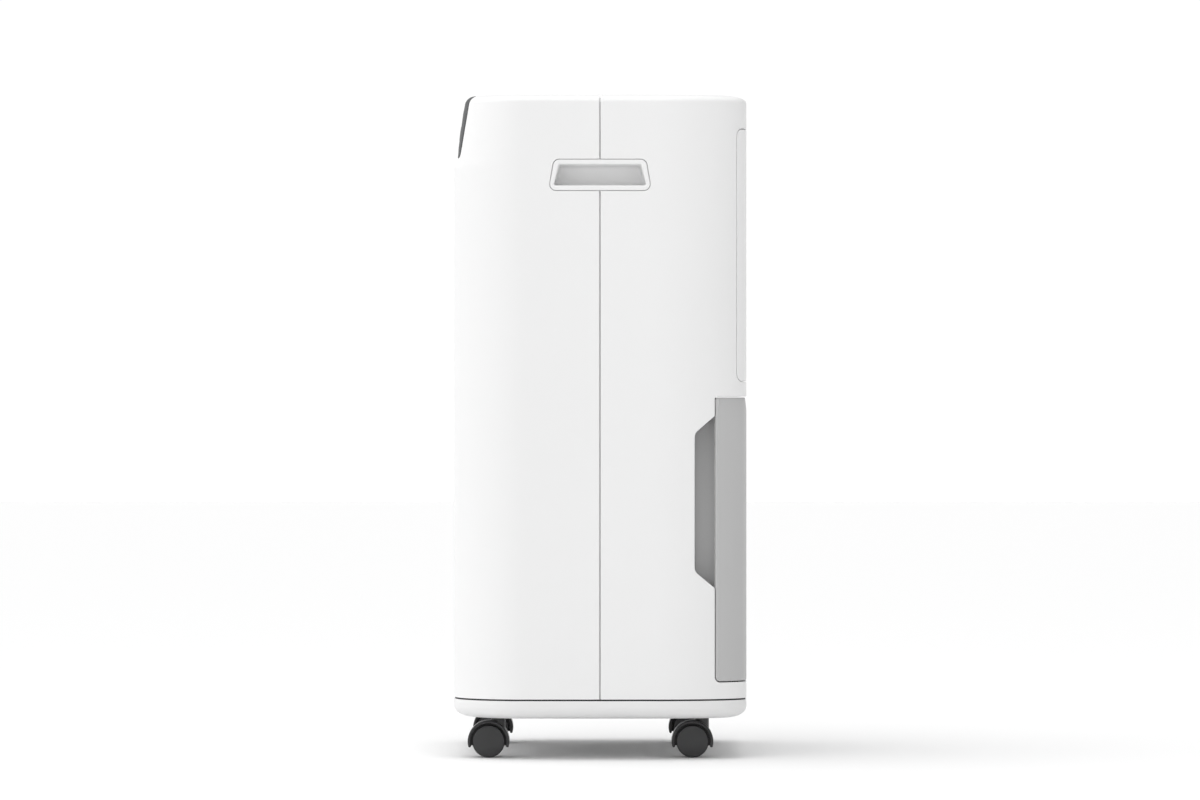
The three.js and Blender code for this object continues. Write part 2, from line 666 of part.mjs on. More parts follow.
function makeDripTray() {
  const tray = box(-140, 140, 42, 112, 328.5, 341)
    .subtract(box(-138, 138, 44, 110, 330.5, 345))
    .add(rod(0, 76, 327, 6, 8, 'z', 14))
    .subtract(rod(0, 76, 327, 4, 20, 'z', 14))
    .add(rod(-150, DRAIN_Y, DRAIN_Z + 3.5, 5.5, 22, 'x', 14))
    .subtract(rod(-150, DRAIN_Y, DRAIN_Z + 3.5, 3.5, 40, 'x', 14));
  addMesh('drip_tray', tray, INNER);
  const spoutProfile = [[3.6, -176], [8.8, -176], [8.8, -163.5], [3.6, -163.5], [3.6, -176]];
  const spout = turned(spoutProfile, 16, 'x').translate([0, DRAIN_Y, DRAIN_Z]);
  addMesh('drain_spout', spout, INNER);
  const plugProfile = [
    [0, -180], [8.2, -180], [9, -179.3], [9, -176.5], [3.2, -176.5], [3.2, -167], [0, -167],
  ];
  const plug = turned(plugProfile, 18, 'x').translate([0, DRAIN_Y, DRAIN_Z]);
  addMesh('drain_plug', plug, RUBBER);
}

// ---- Fan ----
// The scroll opens out evenly round the fan, then runs up to the outlet.
function scrollOutline(shrink) {
  const points = [];
  const startDeg = 55;
  const startR = FAN_R + 8;
  const growth = 42;
  const steps = 20;
  for (let i = 0; i <= steps; i += 1) {
    const turn = i / steps;
    const angle = THREE.MathUtils.degToRad(startDeg + (360 - startDeg) * turn);
    const radius = startR + growth * turn - shrink;
    points.push([FAN_X + radius * Math.cos(angle), FAN_Z + radius * Math.sin(angle)]);
  }
  points.push([FAN_X + startR + growth - shrink, 505]);
  points.push([OUTLET_HALF - 8 - shrink, TOP_Z - 9 + shrink]);
  points.push([-OUTLET_HALF + 8 + shrink, TOP_Z - 9 + shrink]);
  return points;
}

function makeFan() {
  const housingWall = prism(scrollOutline(0), 'y', SCROLL_Y0, SCROLL_Y1);
  const air = prism(scrollOutline(2), 'y', SCROLL_Y0 + 2, SCROLL_Y1 - 2);
  const openHalf = OUTLET_HALF - 12;
  const open = box(-openHalf, openHalf, SCROLL_Y0 + 2, SCROLL_Y1 - 2, TOP_Z - 16, TOP_Z);
  const scroll = housingWall
    .subtract(air)
    .subtract(open)
    .subtract(rod(FAN_X, SCROLL_Y1, FAN_Z, 62, 20, 'y', 24))
    .subtract(rod(FAN_X, SCROLL_Y0, FAN_Z, 12, 20, 'y', 16));
  addMesh('fan_scroll', scroll, INNER);

  const motorProfile = [
    [5, -110], [34, -110], [40, -104], [40, -72], [34, -66], [34, -64.4], [5, -64.4], [5, -110],
  ];
  const motor = turned(motorProfile, 18).rotate([-90, 0, 0]);
  addMesh('fan_motor', motor, STEEL).position.set(FAN_X, 0, FAN_Z);

  const fan = new THREE.Group();
  fan.position.set(FAN_X, 0, FAN_Z);
  root.add(fan);
  const backY = -57;
  const rimY = -15.5;
  const rim = rod(0, rimY, 0, FAN_R, 3, 'y', BLADES).subtract(rod(0, rimY, 0, INTAKE_R, 6, 'y', BLADES));
  const hub = rod(0, -50, 0, 12, 16, 'y', 12);
  let wheel = rod(0, backY, 0, FAN_R, 3, 'y', BLADES).add(hub).add(rim);
  const blade = box(INTAKE_R + 0.5, FAN_R - 1, backY, rimY + 0.5, -1, 1);
  for (let i = 0; i < BLADES; i += 1) wheel = wheel.add(blade.rotate([0, (360 * i) / BLADES, 0]));
  addMesh('fan_impeller', wheel.subtract(rod(0, -52, 0, 4.4, 40, 'y', 12)), INNER, fan);
  addMesh('fan_shaft', rod(0, -72, 0, 4, 60, 'y', 12), STEEL, fan);
}

function makeElectrics() {
  addMesh('capacitor', rod(-86, 10, 150, 20, 74, 'z', 20), ALUMINIUM);
  const switchBody = box(58, 74, 19, 32.2, 278, 302).add(box(58, 60.6, 30, 33.7, 278, 302));
  addMesh('tank_switch', switchBody, BLACK_STEEL);
  // The lever's leaf hangs from its top and leans out to meet the bucket.
  const leaf = [
    [36.2, 300.4], [36.6, 298.6], [41.4, 283.8], [40.2, 281.4], [39.2, 283.4], [34.6, 297.6], [34.6, 300.4],
  ];
  addMesh('switch_lever', prism(leaf, 'x', 63, 69), STEEL);
  const glandProfile = [[3, 122], [4.5, 122], [4.5, 130.2], [3, 130.2], [3, 122]];
  const gland = turned(glandProfile, 16).rotate([-90, 0, 0]);
  addMesh('cord_inlet', gland, RUBBER).position.set(CORD_X, 0, CORD_Z);
}

// ---- Rear intake panel and its filter ----
function makeFilterPanel() {
  let panel = shell(0, PANEL_THICK).intersect(panelRegion(0));
  const slotTop = SLAT_PITCH / 2;
  for (let row = 0; row < SLAT_ROWS; row += 1) {
    const z = SLAT_LOW_Z + row * SLAT_PITCH;
    const slot = box(SLAT_MIDDLE_HALF, SLAT_HALF_X, 110, DEPTH / 2 + 5, z, z + slotTop);
    panel = panel.subtract(slot).subtract(slot.mirror([1, 0, 0]));
  }
  // Two pairs of shelves hold the filter's frame.
  const shelfOf = (x, z) => box(x - 8, x + 8, 115, 128, z - 2.2, z);
  for (const x of [-90, 90]) {
    panel = panel.add(shelfOf(x, FILTER_LOW_Z - GAP));
    panel = panel.add(shelfOf(x, FILTER_TOP_Z + GAP + 2.2));
  }
  addMesh('filter_panel', panel, WHITE);
  const half = FILTER_HALF;
  const rim = 6;
  let frame = box(-half, half, 114, 118, FILTER_LOW_Z, FILTER_TOP_Z)
    .subtract(box(rim - half, half - rim, 110, 122, FILTER_LOW_Z + rim, FILTER_TOP_Z - rim));
  for (const x of [-60, 0, 60]) {
    frame = frame.add(box(x - 1.2, x + 1.2, 114.5, 117.5, FILTER_LOW_Z + 2, FILTER_TOP_Z - 2));
  }
  for (const z of [400, 447, 494]) {
    frame = frame.add(box(2 - half, half - 2, 114.5, 117.5, z - 1.2, z + 1.2));
  }
  addMesh('filter_mesh', frame, MESH);
}

// ---- Water tank ----
function tankBand(lowZ, topZ) {
  const far = DEPTH;
  const outline = [[TANK_FRONT_Y, lowZ], [far, lowZ], [far, topZ], [TANK_FRONT_Y, topZ]];
  return prism(rounded(outline, 4.5), 'x', -WIDTH, WIDTH);
}

function makeTank() {
  const flangeRear = TANK_FRONT_Y + 2.5;
  const flange = box(TANK_HALF + 0.5, WIDTH / 2, TANK_FRONT_Y, flangeRear, TANK_LOW_Z, TANK_TOP_Z);
  const cover = shell(0, TANK_THICK)
    .add(flange.add(flange.mirror([1, 0, 0])).intersect(housing(1)))
    .intersect(tankBand(TANK_LOW_Z, TANK_TOP_Z));
  addMesh('tank_cover', cover, GREY);
  const within = housing(TANK_THICK + GAP);
  const space = box(WALL - TANK_HALF, TANK_HALF - WALL, TANK_DEEP_Y + WALL, DEPTH, TANK_LOW_Z + 3, TOP_Z)
    .intersect(housing(TANK_THICK + GAP + WALL));
  const bucket = box(-TANK_HALF, TANK_HALF, TANK_DEEP_Y, DEPTH, TANK_LOW_Z + 0.5, BUCKET_TOP_Z)
    .intersect(within)
    .subtract(space);
  addMesh('tank_bucket', bucket, CLEAR);
  const fillHole = prism(rounded(rectangle(-26, 26, 62, 90), 8), 'z', 300, 330);
  const pourHole = prism(rounded(rectangle(98, 122, 60, 84), 6), 'z', 300, 330);
  const lidLow = BUCKET_TOP_Z + 0.3;
  const lid = box(-TANK_HALF, TANK_HALF, TANK_DEEP_Y, DEPTH, lidLow, lidLow + 3)
    .intersect(within)
    .subtract(fillHole)
    .subtract(pourHole);
  addMesh('tank_lid', lid, GREY);
  const pivot = [-126, 52, 290];
  const float = rod(-112, 80, pivot[2], 13, 30, 'x', 18)
    .add(box(-128, -124, 52, 84, 287, 293))
    .add(box(-124.5, -114, 76, 84, 287, 293))
    .add(rod(...pivot, 4, 8, 'x', 12))
    .subtract(rod(...pivot, 1.8, 20, 'x', 12));
  addMesh('tank_float', float, INNER);
}

// ---- Casters ----
function makeCaster(tag, x, y) {
  const caster = new THREE.Group();
  caster.position.set(x, y, 0);
  root.add(caster);
  const wheelPlace = [0, -TRAIL, WHEEL_R];
  const arc = [];
  const steps = 14;
  const from = THREE.MathUtils.degToRad(HOOD_TIP_DEG);
  const sweep = Math.PI - 2 * from;
  for (let i = 0; i <= steps; i += 1) {
    const angle = from + (sweep * i) / steps;
    arc.push([HOOD_R * Math.cos(angle), HOOD_R * Math.sin(angle)]);
  }
  const inner = arc.map(([a, b]) => [(a * HOOD_INNER_R) / HOOD_R, (b * HOOD_INNER_R) / HOOD_R]).reverse();
  const arch = prism([...arc, ...inner], 'x', -HOOD_HALF, HOOD_HALF);
  const web = prism(arc.map(([a, b]) => [a * 0.93, b * 0.93]), 'x', -2.4, 2.4);
  const neckTop = NECK_TOP_Z - WHEEL_R;
  const stemTop = STEM_TOP_Z - WHEEL_R;
  const neck = rod(0, TRAIL, neckTop - 4, NECK_R, 8, 'z', 12);
  const stem = rod(0, TRAIL, stemTop - 9.5, STEM_R, 19, 'z', 12);
  const wheelSpace = rod(0, 0, 0, HOOD_INNER_R - 0.4, 60, 'x', 24);
  const hood = neck
    .subtract(wheelSpace)
    .add(stem)
    .add(arch)
    .add(web)
    .add(rod(0, 0, 0, 5.2, 4.8, 'x', 12))
    .subtract(rod(0, 0, 0, AXLE_R + 0.3, 20, 'x', 12));
  addMesh(`caster_hood_${tag}`, hood, CASTER, caster).position.set(...wheelPlace);
  addMesh(`caster_axle_${tag}`, rod(0, 0, 0, AXLE_R, 21, 'x', 10), STEEL, caster).position.set(...wheelPlace);
  const bore = AXLE_R + 0.3;
  const profile = [
    [0, 11], [bore, 11], [bore, 3], [WHEEL_R - 0.7, 3],
    [WHEEL_R, 3.6], [WHEEL_R, 12], [WHEEL_R - 0.9, 12.7], [0, 12.95],
  ];
  for (const [end, turn] of [['a', 0], ['b', Math.PI]]) {
    const wheel = addMesh(`caster_wheel_${tag}_${end}`, turned(profile, 18, 'x'), CASTER, caster);
    wheel.position.set(...wheelPlace);
    wheel.rotation.z = turn;
  }
}

makeBaseTray();
makeCasing();
makeHandle('handle_right', 1);
makeHandle('handle_left', -1);
makeFascia();
makeOutletGrille();
makeBulkhead();
makeCoil('evaporator', 84, 106);
makeCoil('condenser', 48, 70);
makeCompressor();
makeDripTray();
makeFan();
makeElectrics();
makeFilterPanel();
makeTank();
for (const [tag, sx, sy] of [['fr', 1, -1], ['fl', -1, -1], ['rr', 1, 1], ['rl', -1, 1]]) {
  makeCaster(tag, sx * STEM_X, sy * STEM_Y);
}

export default root;
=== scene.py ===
# Looks for a room dehumidifier on casters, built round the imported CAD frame. Lengths are in millimetres
# while a mesh is being made, and are turned to metres when it becomes an object.
import math

import bmesh
import bpy
import numpy as np
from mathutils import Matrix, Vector
from mathutils.geometry import delaunay_2d_cdt
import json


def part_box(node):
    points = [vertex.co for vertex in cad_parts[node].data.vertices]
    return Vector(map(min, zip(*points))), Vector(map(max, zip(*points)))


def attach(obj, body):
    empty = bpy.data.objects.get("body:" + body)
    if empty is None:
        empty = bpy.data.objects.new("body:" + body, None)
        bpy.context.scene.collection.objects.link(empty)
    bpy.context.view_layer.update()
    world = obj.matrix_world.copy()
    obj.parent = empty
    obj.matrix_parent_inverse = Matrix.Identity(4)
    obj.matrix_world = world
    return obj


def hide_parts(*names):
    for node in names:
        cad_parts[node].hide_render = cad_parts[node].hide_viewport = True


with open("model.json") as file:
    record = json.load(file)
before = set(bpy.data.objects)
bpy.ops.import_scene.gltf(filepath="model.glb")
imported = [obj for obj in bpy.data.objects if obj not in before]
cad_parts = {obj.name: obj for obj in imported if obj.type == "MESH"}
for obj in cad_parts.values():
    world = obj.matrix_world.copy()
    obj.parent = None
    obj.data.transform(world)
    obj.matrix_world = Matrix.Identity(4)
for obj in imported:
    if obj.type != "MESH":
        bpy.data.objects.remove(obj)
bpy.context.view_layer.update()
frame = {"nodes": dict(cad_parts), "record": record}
MM = 0.001
TINY = 1e-6


def box_mm(node):
    """A CAD node's lowest and highest corners, in millimetres."""
    low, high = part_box(node)
    return low / MM, high / MM


def middle_mm(node):
    """The middle of a CAD node's box."""
    return [(a + b) / 2 for a, b in zip(*box_mm(node))]


# ---- Sizes, all from the frame or beside it ----
TRAY_LOW, TRAY_HIGH = box_mm("base_tray")
CASING_LOW, CASING_HIGH = box_mm("front_casing")
PANEL_LOW, PANEL_HIGH = box_mm("filter_panel")
TANK_LOW, TANK_HIGH = box_mm("tank_cover")
FASCIA_LOW, FASCIA_HIGH = box_mm("control_fascia")
CUP_LOW, CUP_HIGH = box_mm("handle_right")
GRILLE_LOW, GRILLE_HIGH = box_mm("outlet_grille")
BUCKET_LOW, BUCKET_HIGH = box_mm("tank_bucket")

# Plan of the housing, and the make of every moulded sheet
HALF_W = TRAY_HIGH.x
HALF_D = TRAY_HIGH.y
FRONT_R = 62.0
REAR_X, REAR_Y = 42.0, 80.0
CURVE_STEPS = 400
WALL = 2.5
ROLL, ROLL_STEPS = 0.5, 3
SHARP = math.radians(38)
SEAM_HALF = 0.6
LIP_DEPTH, LIP_THICK = WALL + 0.4, 1.8
LEDGE_DEPTH = 3.4

# Heights and edges of the shells
TOP_Z = CASING_HIGH.z
WALL_LOW_Z = CASING_LOW.z
CROWN_WIDTH, CROWN_HEIGHT, CROWN_POWER = 34.0, 8.5, 2.9
CROWN_FOOT_Z = TOP_Z - CROWN_HEIGHT
FLAT_REACH = 6.0
STEP_Z, STEP_POWER = 525.0, 1.7

# Control fascia
SLOPE_LOW_Z = FASCIA_LOW.z
SLOPE_LOW_INSET = 3.3
SLOPE_TILT = math.radians(7.6)
FASCIA_TOP_R = 9.0
TOP_CENTRE_Z = TOP_Z - FASCIA_TOP_R
SLOPE_TANGENT_Z = TOP_CENTRE_Z + FASCIA_TOP_R * math.sin(SLOPE_TILT)
FASCIA_HALF_LOW, FASCIA_HALF_FOOT = 135.0, 142.6
FASCIA_PROUD = 0.5
BUTTON_Z, BUTTON_R = 557.0, 7.0
WINDOW_X, WINDOW_UP = 34.0, 10.0
BOARD_HALF_X, BOARD_LOW_Z, BOARD_HIGH_Z = 127, 541, 574

# Base tray
BASE_WIDTH, BASE_HEIGHT, BASE_POWER = 19.0, 10.6, 2.2
TRAY_GAP = 1.4
TRAY_TOP_Z = WALL_LOW_Z - TRAY_GAP
TRAY_FLOOR_Z = 40.0
RIM_OUT, RIM_IN, RIM_BEVEL = 2.9, 5.1, 0.4

# Handles
CUP_GROW = 4.5
CUP_Z0, CUP_Z1 = CUP_LOW.z + CUP_GROW, CUP_HIGH.z - CUP_GROW
CUP_HALF_LOW = CUP_HIGH.y - CUP_GROW + 1.5
CUP_HALF_TOP = CUP_HALF_LOW - 4.8
CUP_R, CUP_LEAST_R = 5.5, 1.6
CUP_DEEP = 24.0

# Intake panel, its net, and the outlet grille
PANEL_R = 7.0
SLOT_ROWS, SLOT_PITCH, SLOT_LOW_Z, SLOT_HALF_X = 26, 7.2, 344.0, 140.0
NET_PITCH, STRAND_HALF = 2.6, 0.22
OUTLET_ROWS, OUTLET_PITCH, OUTLET_HALF = 8, 7.5, 2.3
OUTLET_COLUMNS = ((-104, -36), (-32, 32), (36, 104))

# Tank, its bay and the small openings of the rear shell
TANK_TILT_RISE, TANK_TILT_IN, TANK_TILT_POWER = 12.0, 1.3, 1.4
MOUTH_Y = TANK_LOW.y - 1.0
GRIP_Y = 83.7
GRIP = [(MOUTH_Y, 304.5), (GRIP_Y, 289.0), (GRIP_Y, 167.0), (MOUTH_Y, 152.0)]
BUCKET_R, BUCKET_WALL, BUCKET_FOOT = 14.0, 2.5, 5.0
LID_HOLES = (((-26, 26, 62, 90), 8), ((98, 122, 60, 84), 6))
BAY_V = 100.0
DRAIN_Y, DRAIN_Z, DRAIN_R = 60.0, 331.0, 9.5
GLAND_X, GLAND_Z, GLAND_R = 90.0, 61.2, 4.9

# Coils
FIN_END, FIN_PITCH, FIN_THICK = 126.5, 2.3, 0.35
BEND_ROWS, BEND_SPAN, BEND_R = 4, 150.0, 3.4

# Casters
STEM_X, STEM_Y = 121.5, 90.85
TRAIL = 8.45
WHEEL_R = 14.5
HOOD_R, HOOD_INNER_R = 18.6, 16.0
HOOD_HALF = 13.0
HOOD_TIP = math.radians(-17.8)
HOOD_TIP_STEPS = 6
NECK_R, NECK_EDGE = 6.4, 0.9
WEB_HALF = 2.4

# Camera, floor and light, in metres
CAMERA_X, CAMERA_Z, LENS = 5.78, 0.3186, 190.2
FLOOR_REACH, FLOOR_TONE = 14.0, 0.91
HORIZON_LEVEL, HORIZON_LOW, HORIZON_HIGH = 1.03, 0.066, 0.10
LOW_FRONT, LOW_REAR = 1.75, -0.03
BAND_LOW, BAND_HIGH = 0.10, 0.30
DOME_FOOT, DOME_TOP = 0.08, 1.74
DOME_FRONT, DOME_REAR = 1.30, 0.48
SOFTBOX_AT, SOFTBOX_AIM = (1.0, -0.1, 2.3), (0, 0, 0.3)
SOFTBOX_SIDE, SOFTBOX_POWER = 1.2, 6.0


# ---- The housing's surface: u runs round the plan, v runs up the wall ----
class Skin:
    """A rounded-rectangle surface with round front corners and elliptical rear ones. u is the length
    round the plan: 0 in the middle of the front, growing towards +X."""

    def __init__(self, rest, front):
        self.v, self.rest_inset, self.rest_z = rest
        _, self.front_inset, self.front_z = front
        self.turns = np.linspace(0, math.pi / 2, CURVE_STEPS)
        step = np.hypot(np.diff(REAR_X * np.cos(self.turns)), np.diff(REAR_Y * np.sin(self.turns)))
        self.arc = np.concatenate(([0.0], np.cumsum(step)))
        self.spans = (
            HALF_W - FRONT_R,
            FRONT_R * math.pi / 2,
            2 * HALF_D - FRONT_R - REAR_Y,
            self.arc[-1],
            HALF_W - REAR_X,
        )
        self.starts = np.concatenate(([0.0], np.cumsum(self.spans)))
        self.half = self.starts[-1]
        self.top_v = self.v[-1]

    def base(self, u, v):
        """Places on the surface."""
        u, v = np.broadcast_arrays(np.asarray(u, float), np.asarray(v, float))
        wrapped = (u + self.half) % (2 * self.half) - self.half
        side = np.where(wrapped < 0, -1.0, 1.0)
        along = np.abs(wrapped)
        tables = (self.rest_inset, self.front_inset, self.rest_z, self.front_z)
        inset, front_inset, rest_z, front_z = (np.interp(v, self.v, table) for table in tables)
        a, b, c, d = self.starts[1:5]
        turn = np.clip((along - a) / FRONT_R, 0, math.pi / 2)
        rear_turn = np.interp(along - c, self.arc, self.turns)
        zones = [along < a, along < b, along < c, along < d]
        x = np.select(zones, [
            along,
            HALF_W - FRONT_R + (FRONT_R - inset) * np.sin(turn),
            HALF_W - inset,
            HALF_W - REAR_X + (REAR_X - inset) * np.cos(rear_turn),
        ], self.half - along)
        y = np.select(zones, [
            front_inset - HALF_D,
            FRONT_R - HALF_D - (FRONT_R - front_inset) * np.cos(turn),
            FRONT_R - HALF_D + along - b,
            HALF_D - REAR_Y + (REAR_Y - inset) * np.sin(rear_turn),
        ], HALF_D - inset)
        share = np.where(along < b, np.cos(turn) ** 2, 0.0)
        z = rest_z + (front_z - rest_z) * share
        return np.stack([side * x, y, z], -1)

    def normal(self, u, v):
        reach = 0.3
        u, v = np.asarray(u, float), np.asarray(v, float)
        along = self.base(u + reach, v) - self.base(u - reach, v)
        up = self.base(u, np.clip(v + reach, 0, self.top_v)) - self.base(u, np.clip(v - reach, 0, self.top_v))
        cross = np.cross(along, up)
        return cross / np.linalg.norm(cross, axis=-1, keepdims=True)

    def at(self, u, v, depth):
        """Places at a depth below the surface."""
        return self.base(u, v) - self.normal(u, v) * np.asarray(depth, float)[..., None]

    def u_side(self, y):
        """u on the flat right side at a depth-wise place y."""
        return self.starts[2] + y + HALF_D - FRONT_R

    def u_rear_corner(self, turn):
        """u part of the way round a rear corner."""
        return self.starts[3] + float(np.interp(turn, self.turns, self.arc))

    def u_rear_corner_y(self, y):
        return self.u_rear_corner(math.asin((y - HALF_D + REAR_Y) / REAR_Y))

    def u_at_x(self, x):
        """u on the back for a place across it."""
        along = self.half - abs(x)
        if abs(x) > HALF_W - REAR_X:
            along = self.u_rear_corner(math.acos((abs(x) - HALF_W + REAR_X) / REAR_X))
        return along if x > 0 else 2 * self.half - along


def crown_curve(width, height, power):
    """The section of an edge that rolls over from a wall, as insets and rises."""
    angle = np.linspace(0, math.pi / 2, CURVE_STEPS)
    inset = width * (1 - np.cos(angle) ** (2 / power))
    rise = height * np.sin(angle) ** (2 / power)
    return inset, rise


def joined_profile(pieces):
    """Profile table from pieces of (inset, z), with v as the length along it."""
    inset, z = (np.concatenate(values) for values in zip(*pieces))
    step = np.hypot(np.diff(inset), np.diff(z))
    keep = np.concatenate(([True], step > 1e-9))
    inset, z = inset[keep], z[keep]
    v = np.concatenate(([0.0], np.cumsum(np.hypot(np.diff(inset), np.diff(z)))))
    return v, inset, z


def v_of(z):
    """v on the plain wall for a height."""
    return z - WALL_LOW_Z


V_STEP, V_SLOPE, V_FOOT = v_of(STEP_Z), v_of(SLOPE_LOW_Z), v_of(CROWN_FOOT_Z)


def casing_skin():
    """The shells' surface: a plain wall and crown, with a step and a slope in front for the fascia."""
    inset, rise = crown_curve(CROWN_WIDTH, CROWN_HEIGHT, CROWN_POWER)
    wall = (np.zeros(2), np.array([WALL_LOW_Z, CROWN_FOOT_Z]))
    crown = (inset, CROWN_FOOT_Z + rise)
    flat = (np.array([CROWN_WIDTH, CROWN_WIDTH + FLAT_REACH]), np.array([TOP_Z, TOP_Z]))
    rest = joined_profile([wall, crown, flat])
    v = rest[0]
    flat_v = v[-1] - FLAT_REACH
    tangent_inset = SLOPE_LOW_INSET + (SLOPE_TANGENT_Z - SLOPE_LOW_Z) * math.tan(SLOPE_TILT)
    centre_inset = tangent_inset + FASCIA_TOP_R * math.cos(SLOPE_TILT)
    table_v = np.unique(np.concatenate([np.linspace(0, v[-1], 3000), v]))
    part = np.clip((table_v - V_STEP) / (V_SLOPE - V_STEP), 0, 1)
    slope = np.clip((table_v - V_SLOPE) / (V_FOOT - V_SLOPE), 0, 1)
    arc = SLOPE_TILT + (math.pi / 2 - SLOPE_TILT) * np.clip((table_v - V_FOOT) / (flat_v - V_FOOT), 0, 1)
    zones = [table_v < V_SLOPE, table_v < V_FOOT, table_v <= flat_v]
    front_inset = np.select(zones, [
        SLOPE_LOW_INSET * part**STEP_POWER,
        SLOPE_LOW_INSET + (tangent_inset - SLOPE_LOW_INSET) * slope,
        centre_inset - FASCIA_TOP_R * np.cos(arc),
    ], centre_inset + table_v - flat_v)
    front_z = np.select(zones[:2], [
        WALL_LOW_Z + table_v,
        SLOPE_LOW_Z + (SLOPE_TANGENT_Z - SLOPE_LOW_Z) * slope,
    ], TOP_CENTRE_Z + FASCIA_TOP_R * np.sin(arc))
    rest = [np.interp(table_v, v, values) for values in rest[1:]]
    return Skin((table_v, *rest), (table_v, front_inset, front_z))


def tray_skin():
    """The base tray's surface, from under its edge to its upper rim."""
    inset, rise = crown_curve(BASE_WIDTH, BASE_HEIGHT, BASE_POWER)
    flat = (np.array([BASE_WIDTH + 10.0, BASE_WIDTH]), np.array([TRAY_LOW.z, TRAY_LOW.z]))
    edge = (inset[::-1], TRAY_LOW.z + BASE_HEIGHT - rise[::-1])
    wall = (np.zeros(2), np.array([TRAY_LOW.z + BASE_HEIGHT, TRAY_TOP_Z]))
    profile = joined_profile([flat, edge, wall])
    return Skin(profile, profile)


SKIN = casing_skin()
TRAY = tray_skin()


# ---- Outlines ----
def rounded(corners, radius, steps=6):
    """A closed outline with its corners rounded; radius is one number or one for each corner."""
    points = []
    count = len(corners)
    radii = radius if isinstance(radius, (list, tuple)) else [radius] * count
    for i, r in enumerate(radii):
        at = Vector(corners[i])
        if r <= 0:
            points.append(tuple(at))
            continue
        before = (Vector(corners[i - 1]) - at).normalized()
        after = (Vector(corners[(i + 1) % count]) - at).normalized()
        half = before.angle(after) / 2
        reach = r / math.tan(half)
        centre = at + (before + after).normalized() * (r / math.sin(half))
        first = at + before * reach - centre
        last = at + after * reach - centre
        start = math.atan2(first.y, first.x)
        turn = (math.atan2(last.y, last.x) - start + math.pi) % (2 * math.pi) - math.pi
        for k in range(steps + 1):
            angle = start + turn * k / steps
            points.append((centre.x + r * math.cos(angle), centre.y + r * math.sin(angle)))
    return points


def rectangle(a0, a1, b0, b1):
    return [(a0, b0), (a1, b0), (a1, b1), (a0, b1)]


def dense(points, step, closed=True):
    """The same outline with no edge longer than step."""
    out = []
    for p, q in zip(points, points[1:] + points[:1] if closed else points[1:]):
        parts = max(1, math.ceil(math.dist(p, q) / step - TINY))
        out.extend((p[0] + (q[0] - p[0]) * k / parts, p[1] + (q[1] - p[1]) * k / parts) for k in range(parts))
    return out if closed else out + [points[-1]]


def area(points):
    """The area within an outline, which is above 0 if it runs anticlockwise."""
    x, y = np.asarray(points).T
    return 0.5 * float(np.sum(x * np.roll(y, -1) - np.roll(x, -1) * y))


def turned(points, anticlockwise):
    return points if (area(points) > 0) == anticlockwise else points[::-1]


def shifted(points, amount, welded=None):
    """An outline moved to the left of its own direction; edges that are welded stay on their line."""
    pts = np.asarray(points, float)
    ahead = np.roll(pts, -1, 0) - pts
    ahead /= np.linalg.norm(ahead, axis=1, keepdims=True)
    left = np.stack([-ahead[:, 1], ahead[:, 0]], 1)
    far = np.full(len(pts), amount) if welded is None else np.where(welded, 0.0, amount)
    back, back_far = np.roll(left, 1, 0), np.roll(far, 1)
    det = back[:, 0] * left[:, 1] - back[:, 1] * left[:, 0]
    straight = np.abs(det) < TINY
    safe = np.where(straight, 1.0, det)
    across = (back_far * left[:, 1] - far * back[:, 1]) / safe
    up = (far * back[:, 0] - back_far * left[:, 0]) / safe
    mitre = np.stack([across, up], 1)
    plain = left * far[:, None]
    return pts + np.where(straight[:, None], plain, mitre)


def inside(points, loops):
    """Which points are inside the first closed outline and outside the others, which are its holes."""
    x, y = points.T
    result = np.zeros(len(points), bool)
    for loop in loops:
        for (x0, y0), (x1, y1) in zip(loop, np.roll(loop, -1, 0)):
            if y0 != y1:
                result ^= ((y0 > y) != (y1 > y)) & (x < (x1 - x0) * (y - y0) / (y1 - y0) + x0)
    return result


def clear_of(points, loops, distance):
    """Which points are farther than a distance from every outline's edges."""
    ok = np.ones(len(points), bool)
    for loop in loops:
        for p, q in zip(loop, np.roll(loop, -1, 0)):
            low = np.minimum(p, q) - distance
            high = np.maximum(p, q) + distance
            near = np.where(ok & np.all((points > low) & (points < high), 1))[0]
            edge = q - p
            along = np.clip(((points[near] - p) @ edge) / max(edge @ edge, 1e-12), 0, 1)
            gap = np.linalg.norm(points[near] - p - along[:, None] * edge, axis=1)
            ok[near[gap < distance]] = False
    return ok


